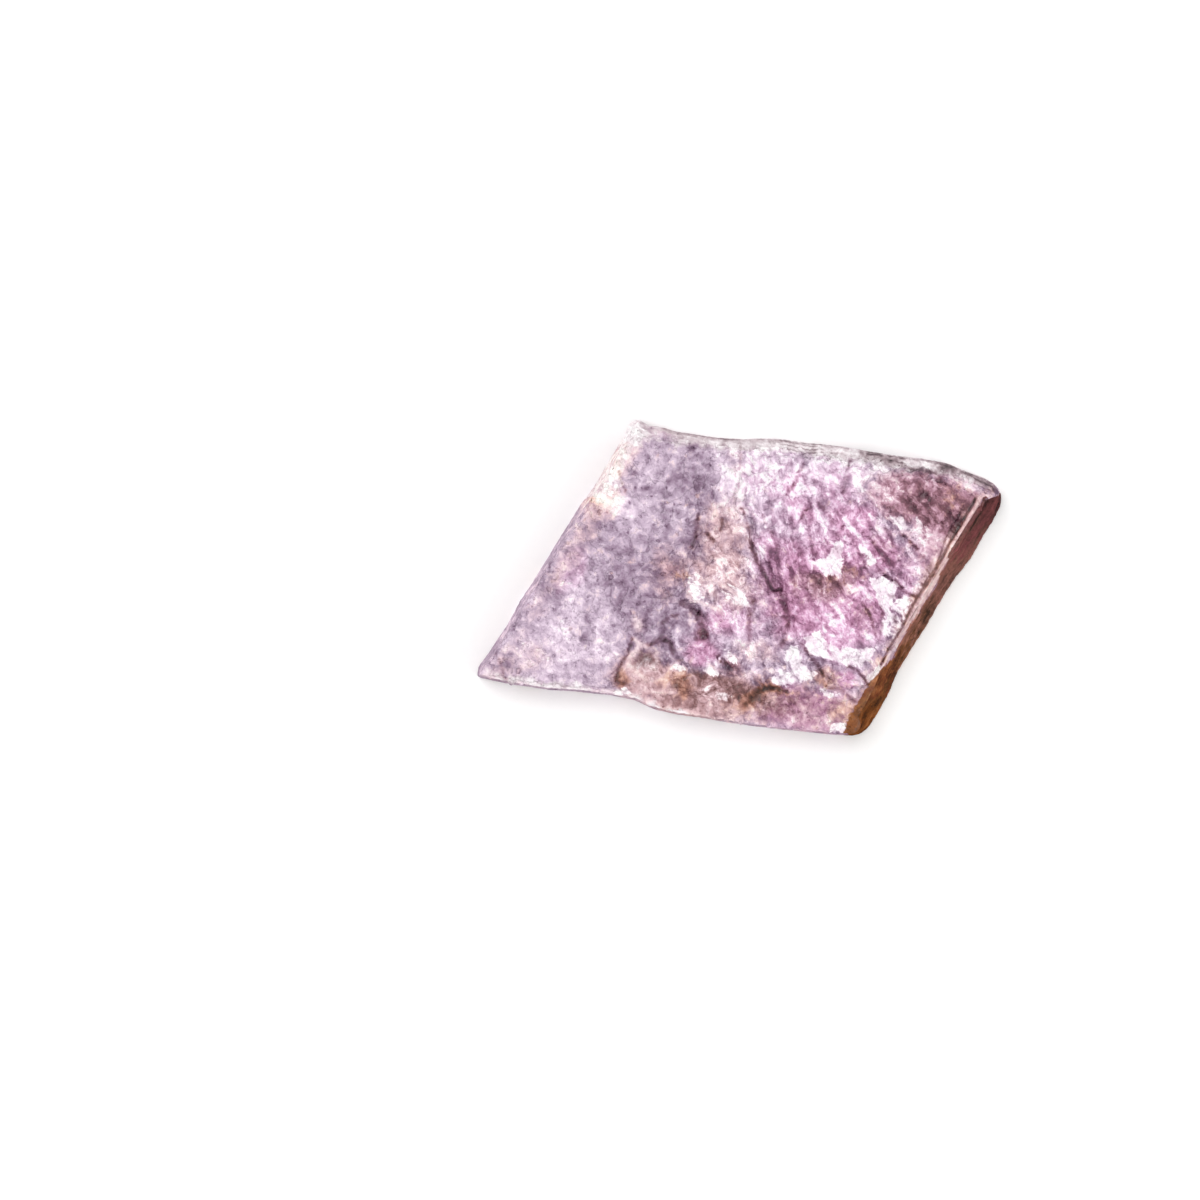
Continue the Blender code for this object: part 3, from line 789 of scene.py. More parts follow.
def slab_mesh():
    """The whole slab: the upper face, the layered sides down to the foot, and the resting face."""
    mesh = bmesh.new()
    for name in ("crust", "lip_shade"):
        mesh.verts.layers.float.new(name)
    foot, rim, outward, side_share = outline_rings()
    splinters = 0.12 + 0.16 * side_share[:, 2] - 0.07 * side_share[:, 1]
    rim = rim + outward * (splinters * (noise_at(foot, 0.5, 81.0) + noise_at(foot, 2.0, 83.0)))[:, None]
    upper = laid_grid(mesh, CELLS_ALONG, CELLS_ACROSS, rim, lambda p: relief(p, face_fields(p)))
    top_faces = set(mesh.faces)
    for (i, j), vertex in upper.items():
        inside = min(i, j, CELLS_ALONG - i, CELLS_ACROSS - j) / RIM_CELLS
        kept = RIM_RELIEF + (1.0 - RIM_RELIEF) * min(inside, 1.0)
        vertex.co.z = (RIM_HEIGHT + kept * (vertex.co.z / MM - RIM_HEIGHT)) * MM
    ring = [upper[place] for place in perimeter(CELLS_ALONG, CELLS_ACROSS)]
    layer = mesh.verts.layers.float["crust"]
    for vertex, cover in zip(ring, crust_cover(foot, 0.0, side_share)):
        vertex[layer] = cover

    shares = layer_shares(foot, side_share)
    # Painted shade for the rims of the ledges
    lip_shade = lip_shade_strength(foot, side_share)
    before = rim
    for k, level in enumerate(layer_levels()):
        share = shares[k]
        after = rim + (foot - rim) * share[:, None]
        if k < LAYERS - 1:
            splinter = noise_at(foot, 0.3, 5.3 * k) + 0.6 * noise_at(foot, 2.2, 3.7 * k)
            after = after + outward * SPLINTERING * splinter[:, None]
        crust = crust_cover(foot, 1.0 - level / LAYER_TOP, side_share)
        places = [Vector((x, y, level)) * MM for x, y in before]
        ring = raise_ring(mesh, ring, places, {"crust": crust, "lip_shade": np.zeros(len(foot))})
        if k == LAYERS - 1:
            break
        places = [Vector((x, y, level - 0.02)) * MM for x, y in after]
        ring = raise_ring(mesh, ring, places, {"crust": crust, "lip_shade": lip_shade})
        before = after

    inner = foot - outward * 1.6
    base = laid_grid(mesh, CELLS_ALONG // 4, CELLS_ACROSS // 4, inner, lambda p: np.zeros(len(p)))
    base_ring = [base[place] for place in perimeter(CELLS_ALONG // 4, CELLS_ACROSS // 4)]
    belt = [mesh.edges.get((loop[i - 1], loop[i])) for loop in (ring, base_ring) for i in range(len(loop))]
    bmesh.ops.triangle_fill(mesh, use_beauty=True, use_dissolve=False, edges=belt)
    bmesh.ops.recalc_face_normals(mesh, faces=mesh.faces)
    for face in mesh.faces:
        ledge = abs(face.normal.z) > 0.7 and max(vertex[layer] for vertex in face.verts) < 0.2
        face.material_index = 0 if face in top_faces or ledge else 1
    return mesh


def add(tree, kind, inputs=None, **settings):
    """A shader node. Each input is set to a value, or linked to a socket."""
    made = tree.nodes.new("ShaderNode" + kind)
    for key, value in settings.items():
        setattr(made, key, value)
    for key, value in (inputs or {}).items():
        if isinstance(value, bpy.types.NodeSocket):
            tree.links.new(value, made.inputs[key])
        else:
            made.inputs[key].default_value = value
    return made


def arithmetic(tree, operation, first, second=0.0, clamp=False):
    """The result of a sum on two values or sockets."""
    return add(tree, "Math", {0: first, 1: second}, operation=operation, use_clamp=clamp).outputs[0]


def step_up(tree, value, low, high):
    """Nothing below low and all above high, with a smooth step between."""
    inputs = {"Value": value, "From Min": low, "From Max": high}
    return add(tree, "MapRange", inputs, interpolation_type="SMOOTHSTEP").outputs[0]


def blended(tree, share, below, above):
    """One colour laid over another by a share."""
    return add(tree, "Mix", {0: share, 6: below, 7: above}, data_type="RGBA").outputs[2]


def colour(red, green, blue):
    """A colour given as on a screen, 0 to 255, in the values that a shader takes."""
    linear = [(c / 255 / 12.92) if c < 11 else ((c / 255 + 0.055) / 1.055) ** 2.4 for c in (red, green, blue)]
    return (*linear, 1.0)


def colour_run(tree, share, stops):
    """A colour from a run of colours, by a share from dark to light."""
    ramp = add(tree, "ValToRGB", {0: share})
    elements = ramp.color_ramp.elements
    while len(elements) < len(stops):
        elements.new(0.5)
    for element, (position, shade) in zip(elements, stops):
        element.position = position
        element.color = colour(*shade)
    return ramp.outputs[0]


def new_group(name, inputs, outputs):
    """A shader node group with named inputs and outputs, and its two end nodes."""
    tree = bpy.data.node_groups.new(name, "ShaderNodeTree")
    for label, kind in inputs:
        tree.interface.new_socket(name=label, in_out="INPUT", socket_type="NodeSocket" + kind)
    for label, kind in outputs:
        tree.interface.new_socket(name=label, in_out="OUTPUT", socket_type="NodeSocket" + kind)
    return tree, tree.nodes.new("NodeGroupInput"), tree.nodes.new("NodeGroupOutput")


def placed_group(tree, group, inputs):
    """A group placed in a material."""
    made = tree.nodes.new("ShaderNodeGroup")
    made.node_tree = group
    for key, value in inputs.items():
        if isinstance(value, bpy.types.NodeSocket):
            tree.links.new(value, made.inputs[key])
        else:
            made.inputs[key].default_value = value
    return made.outputs


def pushed(tree, place, scale, amount):
    """Places pushed about by soft noise."""
    drift = add(tree, "TexNoise", {"Vector": place, "Scale": scale, "Detail": 2.0}).outputs["Color"]
    centred = add(tree, "VectorMath", {0: drift, 1: (0.5, 0.5, 0.5)}, operation="SUBTRACT").outputs[0]
    push = add(tree, "VectorMath", {0: centred, "Scale": amount}, operation="SCALE").outputs[0]
    return add(tree, "VectorMath", {0: place, 1: push}).outputs[0]


def drawn_out(tree, place, turn, scale):
    """Places squeezed so that a pattern comes out long one way."""
    turned = add(tree, "Mapping", {"Vector": place, "Rotation": (0.0, 0.0, -turn)}).outputs[0]
    return add(tree, "Mapping", {"Vector": turned, "Scale": scale}).outputs[0]


def streaks(tree, place, turn):
    """Feathery streaks with fairly crisp edges that run one way, for places in millimetres."""
    squeezed = drawn_out(tree, place, turn, (0.20, 0.95, 1.0))
    soft = add(tree, "TexNoise", {"Vector": squeezed, "Detail": 6.0, "Scale": 1.0, "Roughness": 0.55}).outputs[0]
    return step_up(tree, soft, 0.37, 0.63)


LEAF_TURN = math.radians(118)


def grain_group():
    """The patterns that mica shows at each scale, with painted glints, worked out in millimetres."""
    outputs = (
        "Mottle", "Blotches", "Combs", "Plumes", "Wisps", "Specks", "Shards", "Scales", "Leaves", "PaintedGlints",
    )
    tree, start, end = new_group("mica grain", [("Vector", "Vector")], [(name, "Float") for name in outputs])
    place = add(tree, "VectorMath", {0: start.outputs["Vector"], "Scale": 1000.0}, operation="SCALE").outputs[0]
    wavy = pushed(tree, place, 0.4, 1.6)
    ragged = pushed(tree, wavy, 2.2, 0.7)

    mottle = add(tree, "TexNoise", {"Vector": wavy, "Scale": 0.62, "Detail": 7.0, "Roughness": 0.63})
    blotches = add(tree, "TexNoise", {"Vector": wavy, "Scale": 0.22, "Detail": 5.0, "Roughness": 0.6})
    combs = streaks(tree, wavy, COMB_TURN)
    plumes = streaks(tree, wavy, PLUME_TURN)

    veil = add(tree, "TexNoise", {"Vector": wavy, "Scale": 0.55, "Detail": 6.0, "Roughness": 0.62,
                                  "Distortion": 0.8}).outputs[0]
    fold = add(tree, "Math", {0: arithmetic(tree, "SUBTRACT", veil, 0.5)}, operation="ABSOLUTE").outputs[0]
    wisps = arithmetic(tree, "SUBTRACT", 1.0, arithmetic(tree, "MULTIPLY", fold, 14.0), clamp=True)

    spots = add(tree, "TexVoronoi", {"Vector": ragged, "Scale": 0.85, "Randomness": 1.0})
    lot = add(tree, "SeparateXYZ", {0: spots.outputs["Color"]})
    reach = arithmetic(tree, "MULTIPLY", lot.outputs["Y"], 0.30)
    dots = step_up(tree, arithmetic(tree, "SUBTRACT", reach, spots.outputs["Distance"]), 0.0, 0.14)
    specks = arithmetic(tree, "MULTIPLY", dots, step_up(tree, lot.outputs["X"], 0.45, 0.55))

    heights = []
    lots = []
    flat_on = drawn_out(tree, ragged, LEAF_TURN, (0.5, 1.1, 1.0))
    shard = add(tree, "TexNoise", {"Vector": flat_on, "Scale": 0.55, "Detail": 5.0, "Roughness": 0.6})
    shards = step_up(tree, shard.outputs[0], 0.46, 0.54)
    for size, slope in ((1.4, 0.13), (0.55, 0.13)):
        cell = add(tree, "TexVoronoi", {"Vector": flat_on, "Scale": 1.0 / size, "Randomness": 1.0})
        scaled = add(tree, "VectorMath", {0: flat_on, "Scale": 1.0 / size}, operation="SCALE").outputs[0]
        away = add(tree, "VectorMath", {0: scaled, 1: cell.outputs["Position"]}, operation="SUBTRACT")
        lean = add(tree, "VectorMath", {0: cell.outputs["Color"], 1: (0.5, 0.5, 0.5)}, operation="SUBTRACT")
        flat = add(tree, "VectorMath", {0: lean.outputs[0], 1: (1.0, 1.0, 0.0)}, operation="MULTIPLY")
        rise = add(tree, "VectorMath", {0: away.outputs[0], 1: flat.outputs[0]}, operation="DOT_PRODUCT")
        heights.append(arithmetic(tree, "MULTIPLY", rise.outputs["Value"], slope * size))
        lots.append(add(tree, "SeparateXYZ", {0: cell.outputs["Color"]}).outputs["Z"])
    scales = arithmetic(tree, "ADD", heights[0], heights[1])
    leaves = arithmetic(tree, "MULTIPLY", arithmetic(tree, "ADD", lots[0], lots[1]), 0.5)
    # Painted glints: a few small cells painted bright, as if tilted to catch the lamp
    painted_glints = step_up(tree, lots[1], 0.86, 0.90)

    results = (
        mottle.outputs[0], blotches.outputs[0], combs, plumes, wisps, specks, shards, scales, leaves, painted_glints,
    )
    for name, socket in zip(outputs, results):
        tree.links.new(socket, end.inputs[name])
    return tree


# The colours of each tint of mica as it gets lighter, by lightness
LILAC_RUN = (
    (0.0, (54, 30, 52)), (0.40, (116, 87, 111)), (0.55, (150, 124, 147)), (0.66, (178, 155, 176)),
    (0.79, (209, 187, 206)), (0.90, (234, 214, 230)), (1.0, (249, 240, 247)),
)
PINK_RUN = (
    (0.0, (62, 24, 52)), (0.40, (128, 74, 104)), (0.55, (170, 116, 148)), (0.66, (196, 140, 174)),
    (0.79, (222, 175, 206)), (0.90, (240, 206, 230)), (1.0, (250, 238, 248)),
)
MAROON_RUN = (
    (0.0, (64, 22, 40)), (0.33, (110, 65, 79)), (0.45, (143, 97, 111)), (0.57, (171, 124, 142)),
    (0.70, (200, 156, 174)), (0.85, (230, 198, 210)), (1.0, (250, 240, 245)),
)
WARM_RUN = (
    (0.0, (52, 28, 28)), (0.38, (122, 80, 80)), (0.53, (159, 119, 122)), (0.68, (197, 158, 164)),
    (0.80, (222, 189, 195)), (0.91, (242, 219, 222)), (1.0, (251, 243, 243)),
)
STAIN_RUN = (
    (0.0, (50, 20, 12)), (0.32, (114, 68, 54)), (0.48, (160, 108, 94)), (0.62, (198, 146, 130)),
    (0.76, (224, 182, 168)), (0.88, (242, 214, 204)), (1.0, (252, 245, 238)),
)
BLEACHED_RUN = (
    (0.0, (48, 36, 40)), (0.42, (132, 112, 118)), (0.58, (172, 153, 159)), (0.70, (200, 185, 190)),
    (0.82, (224, 213, 217)), (0.92, (240, 233, 236)), (1.0, (251, 247, 247)),
)


def tint_group():
    """The colour of the mica, from how light it is and how much of each tint is in it."""
    tints = ("Pink", "Maroon", "Warm", "Stain", "Bleached")
    inputs = [("Tone", "Float")] + [(name, "Float") for name in tints]
    tree, start, end = new_group("mica tint", inputs, [("Color", "Color")])
    tone = start.outputs["Tone"]
    shade = colour_run(tree, tone, LILAC_RUN)
    for name, run in zip(tints, (PINK_RUN, MAROON_RUN, WARM_RUN, STAIN_RUN, BLEACHED_RUN)):
        shade = blended(tree, start.outputs[name], shade, colour_run(tree, tone, run))
    tree.links.new(shade, end.inputs["Color"])
    return tree


def swayed(tree, base, pattern, amount):
    """A value pushed up and down by a pattern whose middle is a half."""
    centred = arithmetic(tree, "SUBTRACT", pattern, 0.5)
    return arithmetic(tree, "ADD", base, arithmetic(tree, "MULTIPLY", centred, amount))


def crust_group():
    """The iron crust on one side: brown lines along the sheets, golden at the near end, plum at the far."""
    outputs = [("Color", "Color"), ("Height", "Float")]
    tree, start, end = new_group("iron crust", [("Vector", "Vector"), ("Mottle", "Float")], outputs)
    place = start.outputs["Vector"]
    drawn = add(tree, "Mapping", {"Vector": place, "Scale": (90.0, 90.0, 1300.0)}).outputs[0]
    lines = add(tree, "TexNoise", {"Vector": drawn, "Scale": 1.0, "Detail": 6.0, "Roughness": 0.62}).outputs[0]
    broad = add(tree, "Mapping", {"Vector": place, "Scale": (130.0, 130.0, 420.0)}).outputs[0]
    bands = add(tree, "TexNoise", {"Vector": broad, "Scale": 1.0, "Detail": 5.0, "Roughness": 0.6}).outputs[0]
    spot = add(tree, "SeparateXYZ", {0: place})
    tone = swayed(tree, 0.50, lines, 1.3)
    tone = swayed(tree, tone, bands, 1.9)
    tone = swayed(tree, tone, start.outputs["Mottle"], 1.3)
    flecks = add(tree, "TexNoise", {"Vector": place, "Scale": 1900.0, "Detail": 4.0, "Roughness": 0.7}).outputs[0]
    tone = swayed(tree, tone, flecks, 0.8)
    rise = add(tree, "MapRange", {"Value": spot.outputs["Z"], "To Min": -0.05, "To Max": 0.06,
                                  "From Max": 0.007}).outputs[0]
    tone = arithmetic(tree, "ADD", tone, rise)
    share = add(tree, "MapRange", {"Value": spot.outputs["Y"], "From Min": -0.024, "From Max": 0.012}).outputs[0]
    share = swayed(tree, swayed(tree, share, start.outputs["Mottle"], 0.3), bands, 0.9)
    brown = colour_run(tree, share, (
        (0.04, (121, 66, 22)), (0.12, (134, 83, 43)), (0.20, (109, 55, 29)), (0.30, (130, 81, 47)),
        (0.42, (142, 95, 78)), (0.60, (137, 91, 81)), (0.75, (130, 86, 76)), (0.90, (105, 57, 58)),
    ))
    light = arithmetic(tree, "MAXIMUM", swayed(tree, 1.0, tone, 1.7), 0.22)
    shade = add(tree, "VectorMath", {0: brown, "Scale": light}, operation="SCALE").outputs[0]
    tree.links.new(shade, end.inputs["Color"])
    tree.links.new(lines, end.inputs["Height"])
    return tree


grain = grain_group()
tint = tint_group()
crust = crust_group()


def painted(tree, name):
    """The value of a painted field at the surface."""
    return add(tree, "Attribute", attribute_name=name).outputs["Fac"]


def times(tree, first, second):
    """The product of two values."""
    return arithmetic(tree, "MULTIPLY", first, second)


def crusted(tree, shade, place, grains):
    """A colour with the iron crust over it, and the crust's share and height."""
    iron = placed_group(tree, crust, {"Vector": place, "Mottle": grains["Mottle"]})
    covered = arithmetic(tree, "MAXIMUM", painted(tree, "crust"), painted(tree, "iron"))
    share = step_up(tree, swayed(tree, covered, grains["Mottle"], 1.4), 0.35, 0.60)
    return blended(tree, share, shade, iron["Color"]), share, iron["Height"]


def cleavage_material():
    """Pearly lilac mica, seen flat on: mottled, streaked and speckled, with painted reflection on the white glare
    facets and glints, painted shade in its cracks, at ledge rims and along the far foot, and a painted highlight on
    the near rim.
    """
    material = bpy.data.materials.new("cleavage_face")
    material.use_nodes = True
    tree = material.node_tree
    shader = tree.nodes["Principled BSDF"]
    place = add(tree, "TexCoord").outputs["Object"]
    grains = placed_group(tree, grain, {"Vector": place})

    rough = painted(tree, "rough")
    pattern = swayed(tree, 0.0, grains["Mottle"], 1.25)
    pattern = swayed(tree, pattern, grains["Blotches"], 0.6)
    # Painted highlight from the glints in the rough zones; the leaves and shards vary the tone at random
    leafy = swayed(tree, times(tree, grains["PaintedGlints"], 0.08), grains["Leaves"], 0.18)
    leafy = swayed(tree, leafy, grains["Shards"], 0.12)
    pattern = arithmetic(tree, "ADD", pattern, times(tree, rough, leafy))
    for name, streaked in (("combed", "Combs"), ("plumed", "Plumes")):
        pattern = arithmetic(tree, "ADD", pattern, times(tree, painted(tree, name),
                                                         swayed(tree, 0.0, grains[streaked], 0.29)))
    contrast = arithmetic(tree, "ADD", 0.82, times(tree, rough, 0.18))
    tone = arithmetic(tree, "ADD", painted(tree, "tone"), 0.718)
    tone = arithmetic(tree, "ADD", tone, times(tree, pattern, contrast))
    wisps = times(tree, grains["Wisps"], painted(tree, "frosted"))
    tone = arithmetic(tree, "ADD", tone, times(tree, wisps, 0.20))
    specks = times(tree, grains["Specks"], painted(tree, "speckled"))
    tone = arithmetic(tree, "SUBTRACT", tone, times(tree, specks, 0.30))
    # Lighter along the ridge lines; along the near rim this is a painted highlight
    ridge = times(tree, painted(tree, "ridge"), 0.85)
    tone = arithmetic(tree, "ADD", tone, times(tree, ridge, arithmetic(tree, "SUBTRACT", 0.92, tone)))
    # Painted reflection: on the glare facets the tone is drawn up near white, like glare of the lamps, and the tint
    # below is bleached by it
    facet = swayed(tree, swayed(tree, painted(tree, "glare_facet"), grains["Mottle"], 1.2), grains["Leaves"], 0.30)
    facet = swayed(tree, facet, grains["Plumes"], 0.30)
    glare_facet = step_up(tree, facet, 0.40, 0.70)
    glare_tone = swayed(tree, swayed(tree, 0.94, grains["Mottle"], 1.0), grains["Leaves"], 0.24)
    tone = arithmetic(tree, "ADD", tone, times(tree, glare_facet, arithmetic(tree, "SUBTRACT", glare_tone, tone)))
    # Painted shade: the cracks and the hollows' crescents are darkened as if in shadow; the grooves are also cut in
    # the mesh
    shaded_crevice = painted(tree, "shaded_crevice")
    dark = swayed(tree, swayed(tree, 0.60, grains["Mottle"], 2.2), grains["Shards"], 0.3)
    dark = times(tree, shaded_crevice, arithmetic(tree, "MAXIMUM", dark, 0.0))
    tone = arithmetic(tree, "SUBTRACT", tone, dark)
    # Painted shade at the ledge rims, where the step below would shade them
    lip_shade = times(tree, step_up(tree, painted(tree, "lip_shade"), 0.35, 0.90), 0.45)
    tone = arithmetic(tree, "SUBTRACT", tone, lip_shade)
    # Painted shade along the far foot
    tone = arithmetic(tree, "SUBTRACT", tone, times(tree, painted(tree, "outline"), 0.42), clamp=True)

    tints = {}
    for name, sway in (("pink", 1.0), ("maroon", 1.8), ("warm", 1.4), ("stain", 2.2), ("bleached", 1.4)):
        edge = swayed(tree, painted(tree, name), grains["Blotches" if name == "pink" else "Mottle"], sway)
        tints[name.title()] = step_up(tree, edge, 0.15, 0.80)
    tints["Maroon"] = arithmetic(tree, "MAXIMUM", tints["Maroon"], times(tree, shaded_crevice, 0.6))
    tints["Stain"] = arithmetic(tree, "MAXIMUM", tints["Stain"], times(tree, ridge, 0.45))
    tints["Bleached"] = arithmetic(tree, "MAXIMUM", tints["Bleached"], times(tree, glare_facet, 0.5))
    shade = placed_group(tree, tint, {"Tone": tone, **tints})["Color"]
    shade, crust_share, crust_height = crusted(tree, shade, place, grains)
    tree.links.new(shade, shader.inputs["Base Color"])

    gloss = swayed(tree, 0.42, grains["Mottle"], 0.6)
    gloss = arithmetic(tree, "ADD", gloss, times(tree, crust_share, 0.2))
    tree.links.new(gloss, shader.inputs["Roughness"])
    height = arithmetic(tree, "ADD", grains["Scales"], times(tree, grains["Mottle"], 0.10))
    height = arithmetic(tree, "ADD", height, times(tree, times(tree, crust_height, crust_share), 0.2))
    bump = add(tree, "Bump", {"Strength": 0.8, "Distance": MM, "Height": height})
    tree.links.new(bump.outputs[0], shader.inputs["Normal"])
    shader.inputs["Specular IOR Level"].default_value = 0.3
    shader.inputs["Coat Weight"].default_value = 0.3
    shader.inputs["Coat Roughness"].default_value = 0.2
    return material


def edge_material():
    """The broken ends of the sheets: fine lines of mauve and grey, under brown iron crust on one side."""
    material = bpy.data.materials.new("broken_edge")
    material.use_nodes = True
    tree = material.node_tree
    shader = tree.nodes["Principled BSDF"]
    place = add(tree, "TexCoord").outputs["Object"]
    grains = placed_group(tree, grain, {"Vector": place})
    drawn = add(tree, "Mapping", {"Vector": place, "Scale": (70.0, 70.0, 2600.0)}).outputs[0]
    lines = add(tree, "TexNoise", {"Vector": drawn, "Scale": 1.0, "Detail": 7.0, "Roughness": 0.75}).outputs[0]
    bleached = painted(tree, "bleached")
    tone = swayed(tree, 0.62, lines, 3.0)
    tone = swayed(tree, tone, grains["Mottle"], 0.6)
    tone = arithmetic(tree, "ADD", tone, times(tree, bleached, 0.10))
    # Lighter along the ridge lines; along the near rim this is a painted highlight
    ridge = times(tree, painted(tree, "ridge"), 0.95)
    tone = arithmetic(tree, "ADD", tone, times(tree, ridge, arithmetic(tree, "SUBTRACT", 0.93, tone)))
    # Painted shade along the far foot, lighter on the broken ends
    tone = arithmetic(tree, "SUBTRACT", tone, times(tree, painted(tree, "outline"), 0.25), clamp=True)
    warm = step_up(tree, grains["Blotches"], 0.40, 0.62)
    mauve = placed_group(tree, tint, {
        "Tone": tone, "Pink": painted(tree, "pink"), "Maroon": 0.25, "Warm": warm,
        "Stain": times(tree, ridge, 0.8), "Bleached": times(tree, bleached, 0.8),
    })
    shade, crust_share, crust_height = crusted(tree, mauve["Color"], place, grains)
    tree.links.new(shade, shader.inputs["Base Color"])
    gloss = swayed(tree, 0.5, grains["Mottle"], 0.5)
    tree.links.new(gloss, shader.inputs["Roughness"])
    height = arithmetic(tree, "ADD", lines, times(tree, grains["Mottle"], 0.5))
    bump = add(tree, "Bump", {"Strength": 0.7, "Distance": 0.2 * MM, "Height": height})
    tree.links.new(bump.outputs[0], shader.inputs["Normal"])
    shader.inputs["Specular IOR Level"].default_value = 0.12
    return material


cleavage = cleavage_material()
broken_edge = edge_material()
slab = new_piece("slab", slab_mesh(), (cleavage, broken_edge))
paint(slab.data)

# The peeled sheets. Torn leaves of mica, a tenth of a millimetre thick, that still cling to the rough
# parts of the cleavage face where the sheets over them have come away.

PEELED_COUNT = 150
PEELED_ZONES = ((14.0, 3.0, 13.0, 11.0), (4.0, -15.0, 15.0, 6.0), (8.0, 17.0, 22.0, 4.0), (-12.0, -2.0, 14.0, 14.0))
random.seed(31)


def torn_sheet(mesh, surface, middle, size):
    """One torn sheet: a disc with an angular outline, laid on the surface with one side a little up."""
    rounds = bmesh.ops.create_circle(mesh, cap_ends=True, cap_tris=True, segments=12, radius=1.0)["verts"]
    spokes = {edge for vertex in rounds for edge in vertex.link_edges}
    bmesh.ops.subdivide_edges(mesh, edges=list(spokes), cuts=3, use_grid_fill=True)
    turn, stretch = random.uniform(0.0, math.tau), random.uniform(1.0, 2.2)
    corners = random.choice((3, 4, 5, 6))
    seed = random.uniform(0.0, 99.0)
    lean_x, lean_y, lift = random.gauss(0.0, 0.012), random.gauss(0.0, 0.012), random.uniform(0.02, 0.07)
    for vertex in mesh.verts:
        angle = math.atan2(vertex.co.y, vertex.co.x)
        away = vertex.co.length
        side = math.pi / corners
        angular = math.cos(side) / math.cos((angle + seed) % (2 * side) - side)
        torn = 1.0 + 0.30 * noise.noise(Vector((2.0 * math.cos(angle), 2.0 * math.sin(angle), seed)))
        torn += 0.16 * noise.noise(Vector((7.0 * math.cos(angle), 7.0 * math.sin(angle), seed)))
        reach = size * away * torn * (0.5 + 0.5 * angular)
        along, across = reach * math.cos(angle) * stretch, reach * math.sin(angle)
        x = middle.x / MM + along * math.cos(turn) - across * math.sin(turn)
        y = middle.y / MM + along * math.sin(turn) + across * math.cos(turn)
        struck = surface.ray_cast(Vector((x, y, 20.0)) * MM, Vector((0.0, 0.0, -1.0)))[0]
        if struck is None or struck.z < (FACE_LOWEST + 0.1) * MM:
            return False
        plane = middle.z / MM + lean_x * along + lean_y * across
        z = min(max(0.5 * plane + 0.5 * struck.z / MM, struck.z / MM) + lift, CEILING + 0.22)
        vertex.co = Vector((x, y, z)) * MM
    return True


def gathered(make, count):
    """One mesh of many small ones, made one at a time, with the tone of each for all of its points."""
    whole = bmesh.new()
    holder = bpy.data.meshes.new("holder")
    tones = []
    made = 0
    while made < count:
        single = bmesh.new()
        if make(single):
            tones += [random.gauss(0.0, 0.05)] * len(single.verts)
            single.to_mesh(holder)
            whole.from_mesh(holder)
            made += 1
        single.free()
    bpy.data.meshes.remove(holder)
    return whole, np.array(tones)


slab_tree = BVHTree.FromObject(slab, bpy.context.evaluated_depsgraph_get())


def new_peeled(mesh):
    """A torn sheet somewhere in one of the rough zones."""
    x, y, reach_x, reach_y = random.choice(PEELED_ZONES)
    spot = Vector((x + random.uniform(-reach_x, reach_x), y + random.uniform(-reach_y, reach_y), 20.0)) * MM
    struck = slab_tree.ray_cast(spot, Vector((0.0, 0.0, -1.0)))[0]
    if struck is None or struck.z < (FACE_LOWEST + 0.1) * MM:
        return False
    return torn_sheet(mesh, slab_tree, struck, random.uniform(0.5, 2.2))


leaves, leaf_tones = gathered(new_peeled, PEELED_COUNT)
peeled = new_piece("peeled_sheets", leaves, (cleavage,))
paint(peeled.data, leaf_tones)
leaf_thickness = peeled.modifiers.new("thickness", "SOLIDIFY")
leaf_thickness.thickness = 0.14 * MM

# The loose scales. Small flakes of mica that cling to the cleavage face, each a few hundredths of a
# millimetre thick and tipped its own way, so that each takes the light differently.

SCALE_COUNT = 2600
random.seed(58)
slab_low, slab_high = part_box(NODE)


def new_scale(mesh):
    """A small flat flake with five to seven corners, lying on the slab."""
    spot = Vector((random.uniform(slab_low.x, slab_high.x), random.uniform(slab_low.y, slab_high.y), 0.02))
    struck, normal, _, _ = slab_tree.ray_cast(spot, Vector((0.0, 0.0, -1.0)))
    if struck is None or struck.z < (FACE_LOWEST + 0.1) * MM or normal.z < 0.93:
        return False
    size = random.uniform(0.12, 0.30) if random.random() < 0.85 else random.uniform(0.30, 0.55)
    corners = bmesh.ops.create_circle(mesh, cap_ends=True, segments=random.choice((5, 6, 7)), radius=size * MM)
    long_way = random.uniform(1.0, 1.8)
    for corner in corners["verts"]:
        corner.co *= random.uniform(0.7, 1.15)
        corner.co.x *= long_way
    tipping = min(5.0, 1.0 / size)
    tip = Matrix.Rotation(math.radians(random.gauss(0.0, tipping)), 4, "X")
    tip = tip @ Matrix.Rotation(math.radians(random.gauss(0.0, tipping)), 4, "Y")
    facing = normal.to_track_quat("Z", "Y").to_matrix().to_4x4()
    turn = Matrix.Rotation(random.uniform(0.0, math.tau), 4, "Z")
    lift = Vector((0.0, 0.0, random.uniform(0.01, 0.03) * MM))
    place = Matrix.Translation(struck + lift) @ facing @ tip @ turn
    bmesh.ops.transform(mesh, matrix=place, verts=mesh.verts)
    return True


flakes, flake_tones = gathered(new_scale, SCALE_COUNT)
scales = new_piece("loose_scales", flakes, (cleavage,))
paint(scales.data, flake_tones)
flake_thickness = scales.modifiers.new("thickness", "SOLIDIFY")
flake_thickness.thickness = 0.03 * MM

# The floor, the lamps and the camera. A flat pale floor, a wide soft lamp high on the left, a fill
# from the right, and a long lens that looks straight down on the slab.

FLOOR_SIZE = 4.0
LENS = 120.0
SENSOR = 36.0
VIEW_WIDTH = 0.192
VIEW_MIDDLE = (-22.5, -3.7)
FACE_PLANE = 4.0


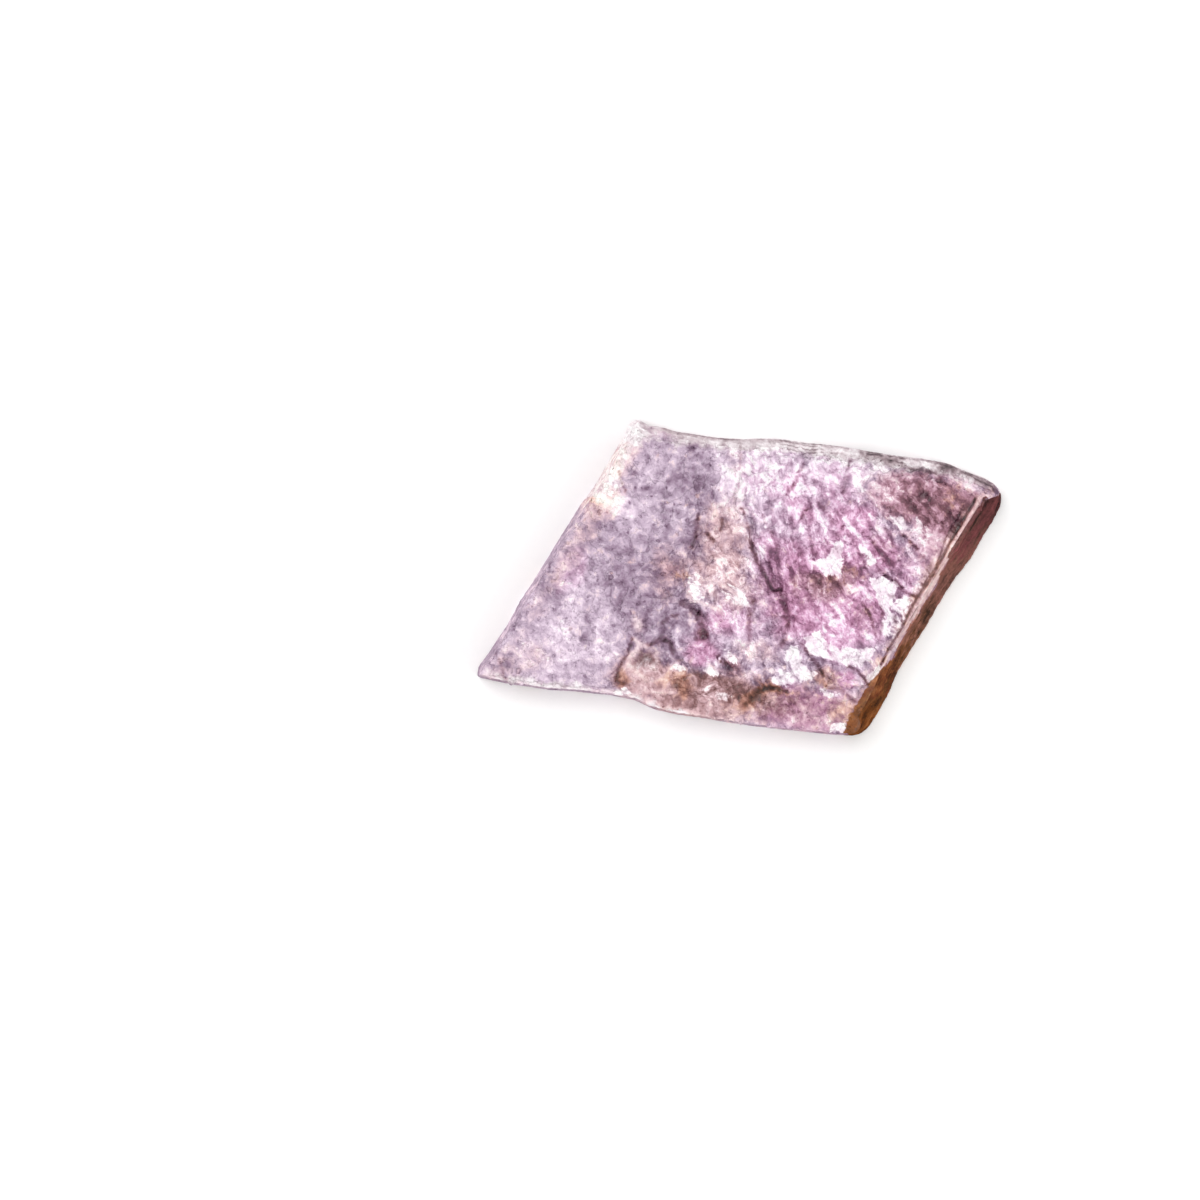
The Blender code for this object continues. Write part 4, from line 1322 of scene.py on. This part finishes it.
def floor_material():
    """Matt white paper with a very faint grain."""
    material = bpy.data.materials.new("white_paper")
    material.use_nodes = True
    tree = material.node_tree
    shader = tree.nodes["Principled BSDF"]
    place = add(tree, "TexCoord").outputs["Object"]
    fibres = add(tree, "TexNoise", {"Vector": place, "Scale": 900.0, "Detail": 4.0})
    paper = blended(tree, fibres.outputs[0], colour(250, 250, 250), colour(253, 253, 252))
    tree.links.new(paper, shader.inputs["Base Color"])
    shader.inputs["Roughness"].default_value = 0.9
    shader.inputs["Specular IOR Level"].default_value = 0.1
    return material


def new_lamp(name, place, size, power):
    """A square soft lamp that looks at the slab."""
    lamp = bpy.data.objects.new(name, bpy.data.lights.new(name, "AREA"))
    lamp.data.size = size
    lamp.data.energy = power
    lamp.location = place
    lamp.rotation_euler = (-Vector(place)).to_track_quat("-Z", "Y").to_euler()
    lamp.visible_camera = False
    bpy.context.scene.collection.objects.link(lamp)


sheet = bmesh.new()
bmesh.ops.create_grid(sheet, x_segments=2, y_segments=2, size=FLOOR_SIZE / 2)
floor = bpy.data.objects.new("floor", bpy.data.meshes.new("floor"))
sheet.to_mesh(floor.data)
sheet.free()
floor.data.materials.append(floor_material())
bpy.context.scene.collection.objects.link(floor)

new_lamp("key_lamp", (-0.34, 0.28, 0.80), 0.70, 4.3)
new_lamp("fill_lamp", (0.55, -0.25, 0.60), 0.30, 1.6)

world = bpy.data.worlds.new("studio")
world.use_nodes = True
world.node_tree.nodes["Background"].inputs["Color"].default_value = (1.0, 1.0, 1.0, 1.0)
world.node_tree.nodes["Background"].inputs["Strength"].default_value = 0.70
bpy.context.scene.world = world
bpy.context.scene.view_settings.view_transform = "Standard"

camera = bpy.data.objects.new("camera", bpy.data.cameras.new("camera"))
camera.data.lens = LENS
camera.data.sensor_width = SENSOR
camera.data.clip_start = 0.01
camera.data.clip_end = 20.0
distance = VIEW_WIDTH * LENS / SENSOR
camera.location = (VIEW_MIDDLE[0] * MM, VIEW_MIDDLE[1] * MM, FACE_PLANE * MM + distance)
bpy.context.scene.collection.objects.link(camera)
bpy.context.scene.camera = camera
